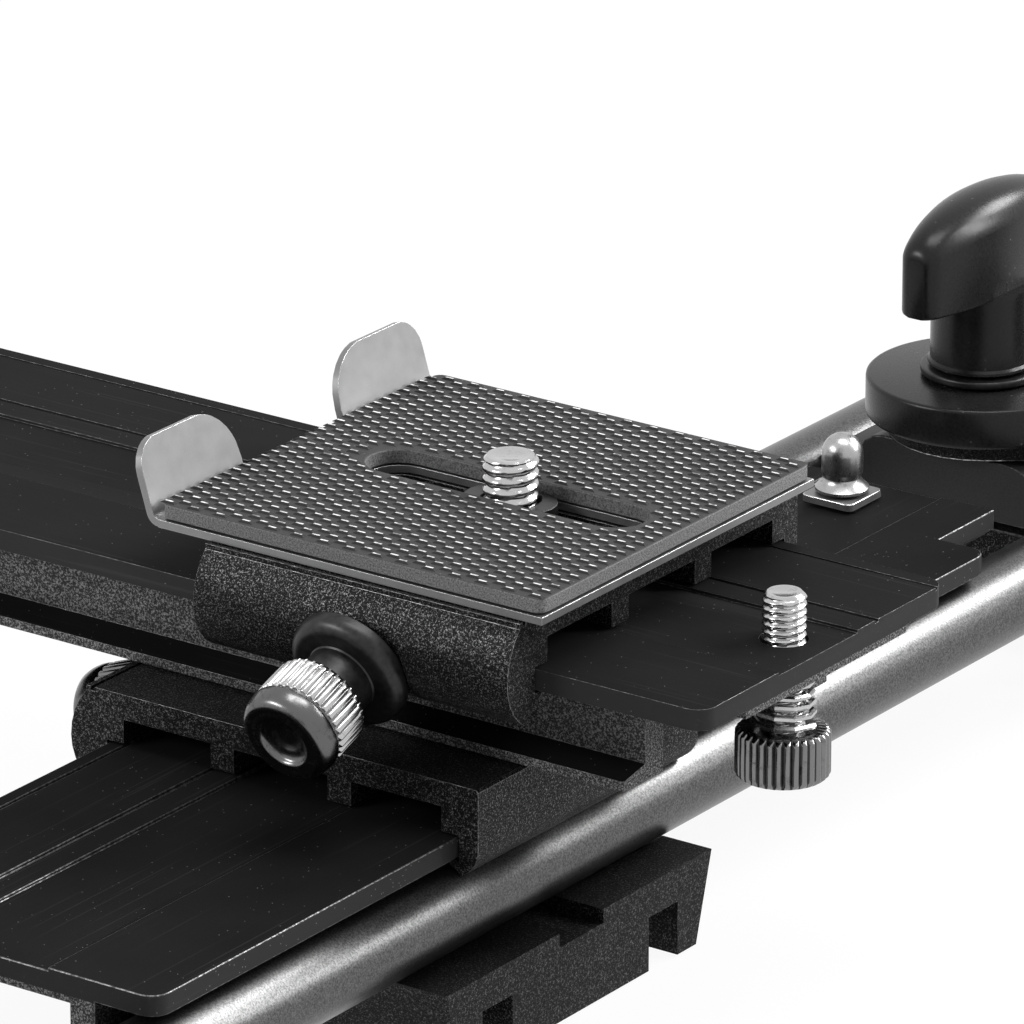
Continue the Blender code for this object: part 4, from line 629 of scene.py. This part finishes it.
def lock_knob(prefix, body, home, outward, flange, material):
    """Straight-knurled grip, a narrow groove, a smooth tapering ring round a dimpled face, a flanged collar."""
    axis = lock_frame(home, outward)
    start, end = 10.3, 18.3
    grip_end = end - 3.1
    grip = [(0, start + 0.1), (4.9, start + 0.1), (5.3, start + 0.35), (5.56, start + 0.75), (5.58, start + 0.9),
            (5.58, grip_end - 0.25), (5.5, grip_end - 0.1), (5.2, grip_end)]
    teeth = straight_knurl(34, 0.46, start + 0.4, grip_end)
    bezel = [(5.2, grip_end), (5.15, grip_end + 0.2), (5.5, grip_end + 0.42), (5.56, grip_end + 0.7),
             (5.55, grip_end + 1.2), (5.42, grip_end + 1.9), (5.2, grip_end + 2.5), (4.9, grip_end + 2.85),
             (4.6, end - 0.1), (4.3, end - 0.03)]
    dimple = [(4.0, 0.12), (3.7, 0.1), (3.3, 0.06), (3.1, 0.12), (2.95, 0.4), (2.75, 0.72), (2.1, 0.86),
              (1.7, 0.95), (1.4, 1.2), (0.8, 1.24), (0, 1.25)]
    face = bezel + [(radius, end - depth) for radius, depth in dimple]
    put(prefix + "_knurled_knob", moved(turned(grip, 340, teeth), axis), [material], body,
        [prefix + "_lock_knob"], 50)
    put(prefix + "_knob_face", moved(turned(face), axis), [FACE_GREY], body, (), 50)
    fillet = 1.5
    rim = [(flange - fillet + fillet * math.cos(math.radians(a)), 5.4 + fillet * math.sin(math.radians(a)))
           for a in range(0, 91, 15)]
    sleeve = ([(2.3, 4.5), (flange - 0.2, 4.5), (flange, 4.7)] + rim
              + [(4.15, 6.9), (4.0, 7.05), (4.0, 9.8), (3.8, 10.0), (2.3, 10.0)])
    put(prefix + "_lock_sleeve", moved(turned(sleeve), axis), [OXIDE], body,
        [prefix + "_lock_collar"])


lock_knob("qr", "qr_lock", (10.0, UPPER_CENTRE - RAIL_HALF_WIDTH, 42.1), (0, -1, 0), 7.0, CHROME)
# the lower knob is the same chrome knob as the upper one; its darker chrome is painted shade
lock_knob("lower", "lower_lock", (-RAIL_HALF_WIDTH, 5.5, 22.6), (-1, 0, 0), 5.0, KNURL_DARK)


# ---------- camera screw ----------

camera_thread = threaded(3.1, 0.42, 1.27, SCREW_HEAD_TOP, SCREW_TOP, 0.5)
head_profile = [(0, SCREW_HEAD_BOTTOM), (5.0, SCREW_HEAD_BOTTOM), (5.0, SCREW_HEAD_TOP), (0, SCREW_HEAD_TOP)]
camera_head = turned(rounded(head_profile, 0.4), 64)
put("camera_screw_thread", moved(joined(camera_thread, camera_head), at(SCREW_X, UPPER_CENTRE)), [CHROME],
    "camera_fastener", ["camera_screw"], 40)
softened("screw_slider", "slot_slider", OXIDE, EDGE_FAINT, 0.12)


# ---------- captive screw ----------

captive_thread = threaded(2.4, 0.34, 0.86, CAPTIVE_HEAD_TOP, CAPTIVE_TOP, 0.5)
captive_teeth = straight_knurl(32, 0.5, 27.75, 32.75)
captive_profile = [(0, CAPTIVE_HEAD_BOTTOM), (4.2, CAPTIVE_HEAD_BOTTOM), (4.75, 27.5), (5.1, 27.8), (5.18, 28.05),
                   (5.18, 32.35), (5.05, 32.65), (4.6, 32.95), (3.6, CAPTIVE_HEAD_TOP), (0, CAPTIVE_HEAD_TOP)]
captive_head = turned(captive_profile, 320, captive_teeth)
put("captive_thread", moved(captive_thread, at(CAPTIVE_X, UPPER_CENTRE)), [CHROME], "captive_fastener",
    (), 40)
put("captive_knurl", moved(captive_head, at(CAPTIVE_X, UPPER_CENTRE)), [KNURL_DARK], "captive_fastener",
    ["captive_screw"], 50)


# ---------- T-shaped knobs ----------

def wing():
    """The half-moon wing along Y: upright sides, a crisp ridge, a dome, round ends."""
    stations, bottom, half_length = 40, 41.6, 14.7
    end_half_width, half_width_swell = 2.2, 2.4
    end_side, end_dome, swell_up, end_round = 6.3, 0.8, 2.7, 1.4
    shape = bmesh.new()
    sections = []
    for station in range(stations + 1):
        along = -math.cos(math.pi * station / stations)
        swell = math.sin(math.pi * station / stations)
        wide = end_half_width + half_width_swell * swell * swell
        to_end = half_length * (1 - abs(along))
        if to_end < end_round:
            wide *= 0.5 + 0.5 * math.sqrt(to_end / end_round * (2 - to_end / end_round))
        upright = end_side + swell_up * swell
        dome = end_dome + swell_up * swell
        edge = min(0.5, wide * 0.3)
        half = [(wide - edge, 0), (wide - 0.1, edge * 0.35), (wide, edge), (wide, upright - 0.25),
                (wide - 0.06, upright), (wide * 0.93, upright + dome * 0.22), (wide * 0.82, upright + dome * 0.48),
                (wide * 0.66, upright + dome * 0.71), (wide * 0.46, upright + dome * 0.86),
                (wide * 0.24, upright + dome * 0.96)]
        outline = half + [(0, upright + dome * 0.99)] + [(-u, w) for u, w in reversed(half)]
        sections.append([shape.verts.new((u * MM, half_length * along * MM, (w + bottom) * MM))
                         for u, w in outline])
    for near, far in zip(sections, sections[1:]):
        skin(shape, near, far)
    shape.faces.new(sections[0])
    shape.faces.new(sections[-1])
    return shape


def t_knob(side, y):
    """The wing on its stem, the metal ring under it and the clamp's disc."""
    bore = 3.3
    here = at(0, y)
    put(side + "_wing", moved(wing(), here), [PLASTIC], side + "_knob", [side + "_t_knob"], 50)
    stem = turned([(bore, 32.2), (6.15, 32.2), (6.38, 32.4), (6.36, 32.7), (6.1, 33.0), (6.08, 41.0), (6.2, 41.5),
                   (6.2, 42.2), (bore, 42.2)])
    put(side + "_stem", moved(stem, here), [PLASTIC], side + "_knob")
    disc = rounded([(bore, 25.8), (13.65, 25.8), (13.65, 30.7), (bore, 30.7)], 0.5)
    put(side + "_disc", moved(turned(disc, 128), here), [PLASTIC], side + "_clamp",
        [side + "_clamp_disc"])
    ring = rounded([(bore, 31.0), (7.2, 31.0), (7.2, 31.9), (bore, 31.9)], 0.25)
    put(side + "_ring", moved(turned(ring), here), [OXIDE], side + "_knob", [side + "_knob_ring"])


t_knob("right", CLAMP_Y)
t_knob("left", -CLAMP_Y)


# ---------- tilt screws on the shoe forks ----------

def tilt_screw(side, end):
    """A knurled thumb screw through the fork, its head outward."""
    turn = at(0, end * CLAMP_Y) @ Matrix.Rotation(end * ARM_TOE, 4, "Z")
    hinge = turn @ at(ARM_REACH, 0, HINGE_Z) @ Matrix.Rotation(math.radians(-90), 4, "X")
    profile = [(0, -12.3), (1.7, -12.3), (2.0, -12.0), (2.0, 9.3), (5.5, 9.3), (5.95, 9.75), (6.0, 9.9),
               (6.0, 14.3), (5.9, 14.6), (5.4, 15.2), (4.2, 15.3), (3.8, 15.0), (0, 14.8)]
    teeth = straight_knurl(34, 0.42, 9.8, 14.4)
    put(side + "_tilt_knob", moved(turned(profile, 272, teeth), hinge), [CHROME], side + "_tilt_fastener",
        [side + "_tilt_screw"], 50)


tilt_screw("right", 1)
tilt_screw("left", -1)


# ---------- quick-release plate and pad ----------

softened("quick_release_plate", "turned_up_plate", SHEET_STEEL, SHEET_EDGE, 0.22, 3, 30)
softened("rubber_pad", "pad_sheet", RUBBER, PAD_EDGE, 0.2)


def in_slot(x, y, margin):
    """Whether a place on the pad falls in the screw's slot, with a margin."""
    middle, half_length, half_width = 10.3, 18.0, 3.7
    dx = max(0.0, abs(x - middle) - (half_length - half_width))
    return math.hypot(dx, y - UPPER_CENTRE) < half_width + margin


def pad_bar(shape, x, y):
    """One raised bar: dark sloping flanks and a narrow crown that carries a painted highlight."""
    half_x, half_y, rise, sunk = 1.0, 0.34, 0.26, 0.02
    crown_x, crown_y = 0.5, 0.38
    corners = ((-1, -1), (1, -1), (1, 1), (-1, 1))
    base, crown = PAD_TOP - sunk, PAD_TOP + rise - sunk
    foot = [shape.verts.new(((x + a * half_x) * MM, (y + b * half_y) * MM, base * MM)) for a, b in corners]
    top = [shape.verts.new(((x + a * half_x * crown_x) * MM, (y + b * half_y * crown_y) * MM, crown * MM))
           for a, b in corners]
    # the crown's finish is a painted highlight
    shape.faces.new(top).material_index = 1
    skin(shape, foot, top)


def pad_bars():
    """Rows of short raised bars, each row set half a step from the next."""
    middle_x, half_width_x, half_width_y = 7.8, 24.3, 24.7
    step_x, step_y, slot_margin = 3.44, 0.86, 0.7
    shape = bmesh.new()
    row = 0
    y = UPPER_CENTRE - half_width_y
    while y <= UPPER_CENTRE + half_width_y:
        x = middle_x - half_width_x + (step_x / 2 if row % 2 else 0)
        while x <= middle_x + half_width_x:
            if not in_slot(x, y, slot_margin):
                pad_bar(shape, x, y)
            x += step_x
        y += step_y
        row += 1
    return shape


put("pad_bars", pad_bars(), [RUBBER_DARK, BAR_HIGHLIGHT_PAINT], "qr_stage", (), 20)


# ---------- what keeps its solid's shape ----------

def finish_solid(node, material):
    """Give a solid that keeps its shape the look of its finish."""
    mesh = frame["nodes"][node].data
    mesh.materials.clear()
    mesh.materials.append(material)


for node in ("tube_screw_1", "tube_screw_2", "tube_screw_3", "tube_screw_4", "lower_rail_screw_1",
             "lower_rail_screw_2", "end_stop_bolt", "upper_rail_screw_1", "upper_rail_screw_2", "lower_lock_screw",
             "qr_lock_screw", "plate_rivet_1", "plate_rivet_2", "right_clamp_bolt", "left_clamp_bolt",
             "right_fork_screw", "left_fork_screw"):
    finish_solid(node, OXIDE)
finish_solid("captive_spring", WIRE)


# ---------- stage ----------

DIRECT_RAYS = ("Is Camera Ray", "Is Glossy Ray", "Is Transmission Ray")
FLOOR_SIZE = 8.0
FLOOR_DROP = 0.0003
FLOOR_WHITE_SHARE = 0.93
DIFFUSE_LEVEL = 0.22
SHOWN_LEVEL = 1.0


def seen_directly(nodes):
    """1 for the camera's own rays and what mirrors and glass show of the background."""
    kinds = [nodes.node("ShaderNodeLightPath", output=name) for name in DIRECT_RAYS]
    return (kinds[0] + kinds[1] + kinds[2]).between(0.0, 1.0)


def pale_floor():
    """A white floor that still takes the bracket's shadow."""
    finish = Finish("pale floor", grey(0.86), 0.9)
    tooth = finish.noise(0.4, 2.0)
    finish.set({"Base Color": finish.blend(tooth, grey(0.84), grey(0.88))})
    white = finish.node("ShaderNodeEmission", {}, {"Color": (1, 1, 1, 1), "Strength": 1.0})
    share = seen_directly(finish) * FLOOR_WHITE_SHARE
    own = Value(finish, finish.shader.outputs[0])
    mixed = finish.node("ShaderNodeMixShader", {}, {0: share, 1: own, 2: white})
    finish.feed(finish.tree.nodes["Material Output"].inputs["Surface"], mixed)
    return finish.material


def lay_floor():
    """The floor, a hair below the bracket's underside."""
    ground = bmesh.new()
    bmesh.ops.create_grid(ground, x_segments=1, y_segments=1, size=FLOOR_SIZE)
    ground_mesh = bpy.data.meshes.new("floor")
    ground.to_mesh(ground_mesh)
    ground.free()
    ground_mesh.materials.append(pale_floor())
    floor = bpy.data.objects.new("floor", ground_mesh)
    floor.location = (0, 0, -FLOOR_DROP)
    bpy.context.scene.collection.objects.link(floor)


def light_world():
    """White where it is seen or mirrored, dim where it only lights."""
    world = bpy.data.worlds.new("studio")
    world.use_nodes = True
    bpy.context.scene.world = world
    nodes = Nodes(world.node_tree)
    background = nodes.tree.nodes["Background"]
    level = seen_directly(nodes) * (SHOWN_LEVEL - DIFFUSE_LEVEL) + DIFFUSE_LEVEL
    nodes.feed(background.inputs["Color"], (1, 1, 1, 1))
    nodes.feed(background.inputs["Strength"], level)


def softbox(name, place, width, height, watts):
    """A rectangular lamp that faces the bracket's middle."""
    aim = Vector((0, 0, 0.03))
    lamp = bpy.data.lights.new(name, "AREA")
    lamp.shape = "RECTANGLE"
    lamp.size = width
    lamp.size_y = height
    lamp.energy = watts
    holder = bpy.data.objects.new(name, lamp)
    holder.location = place
    holder.rotation_mode = "QUATERNION"
    holder.rotation_quaternion = (aim - Vector(place)).to_track_quat("-Z", "Y")
    bpy.context.scene.collection.objects.link(holder)


def set_camera():
    """A long lens from the right, front and above, aimed at the camera screw."""
    azimuth, elevation = math.radians(35.4), math.radians(20.6)
    distance, shift_right, shift_up = 0.977, 0.000322, 0.00215
    ahead = Vector((-math.sin(azimuth) * math.cos(elevation), math.cos(azimuth) * math.cos(elevation),
                    -math.sin(elevation)))
    right = Vector((math.cos(azimuth), math.sin(azimuth), 0))
    up = right.cross(ahead)
    lens = bpy.data.cameras.new("camera")
    lens.lens = 319.6
    lens.sensor_width = 36.0
    lens.clip_start = 0.01
    lens.clip_end = 50.0
    camera = bpy.data.objects.new("camera", lens)
    target = Vector((11.8, 11.6, PAD_TOP)) * MM
    camera.location = target - ahead * distance - right * shift_right - up * shift_up
    camera.rotation_mode = "QUATERNION"
    camera.rotation_quaternion = ahead.to_track_quat("-Z", "Y")
    bpy.context.scene.collection.objects.link(camera)
    bpy.context.scene.camera = camera
    bpy.context.scene.view_settings.view_transform = "Standard"


lay_floor()
light_world()
softbox("key overhead", (0.1, 0.05, 0.9), 0.3, 0.6, 4.5)
softbox("band on the tubes", (0.36, 0.86, 0.64), 0.4, 0.3, 9.0)
softbox("strip at right", (0.66, 0.58, 0.5), 0.16, 0.5, 6.0)
softbox("fill at front", (-0.5, -0.75, 0.5), 0.45, 0.2, 4.5)
set_camera()
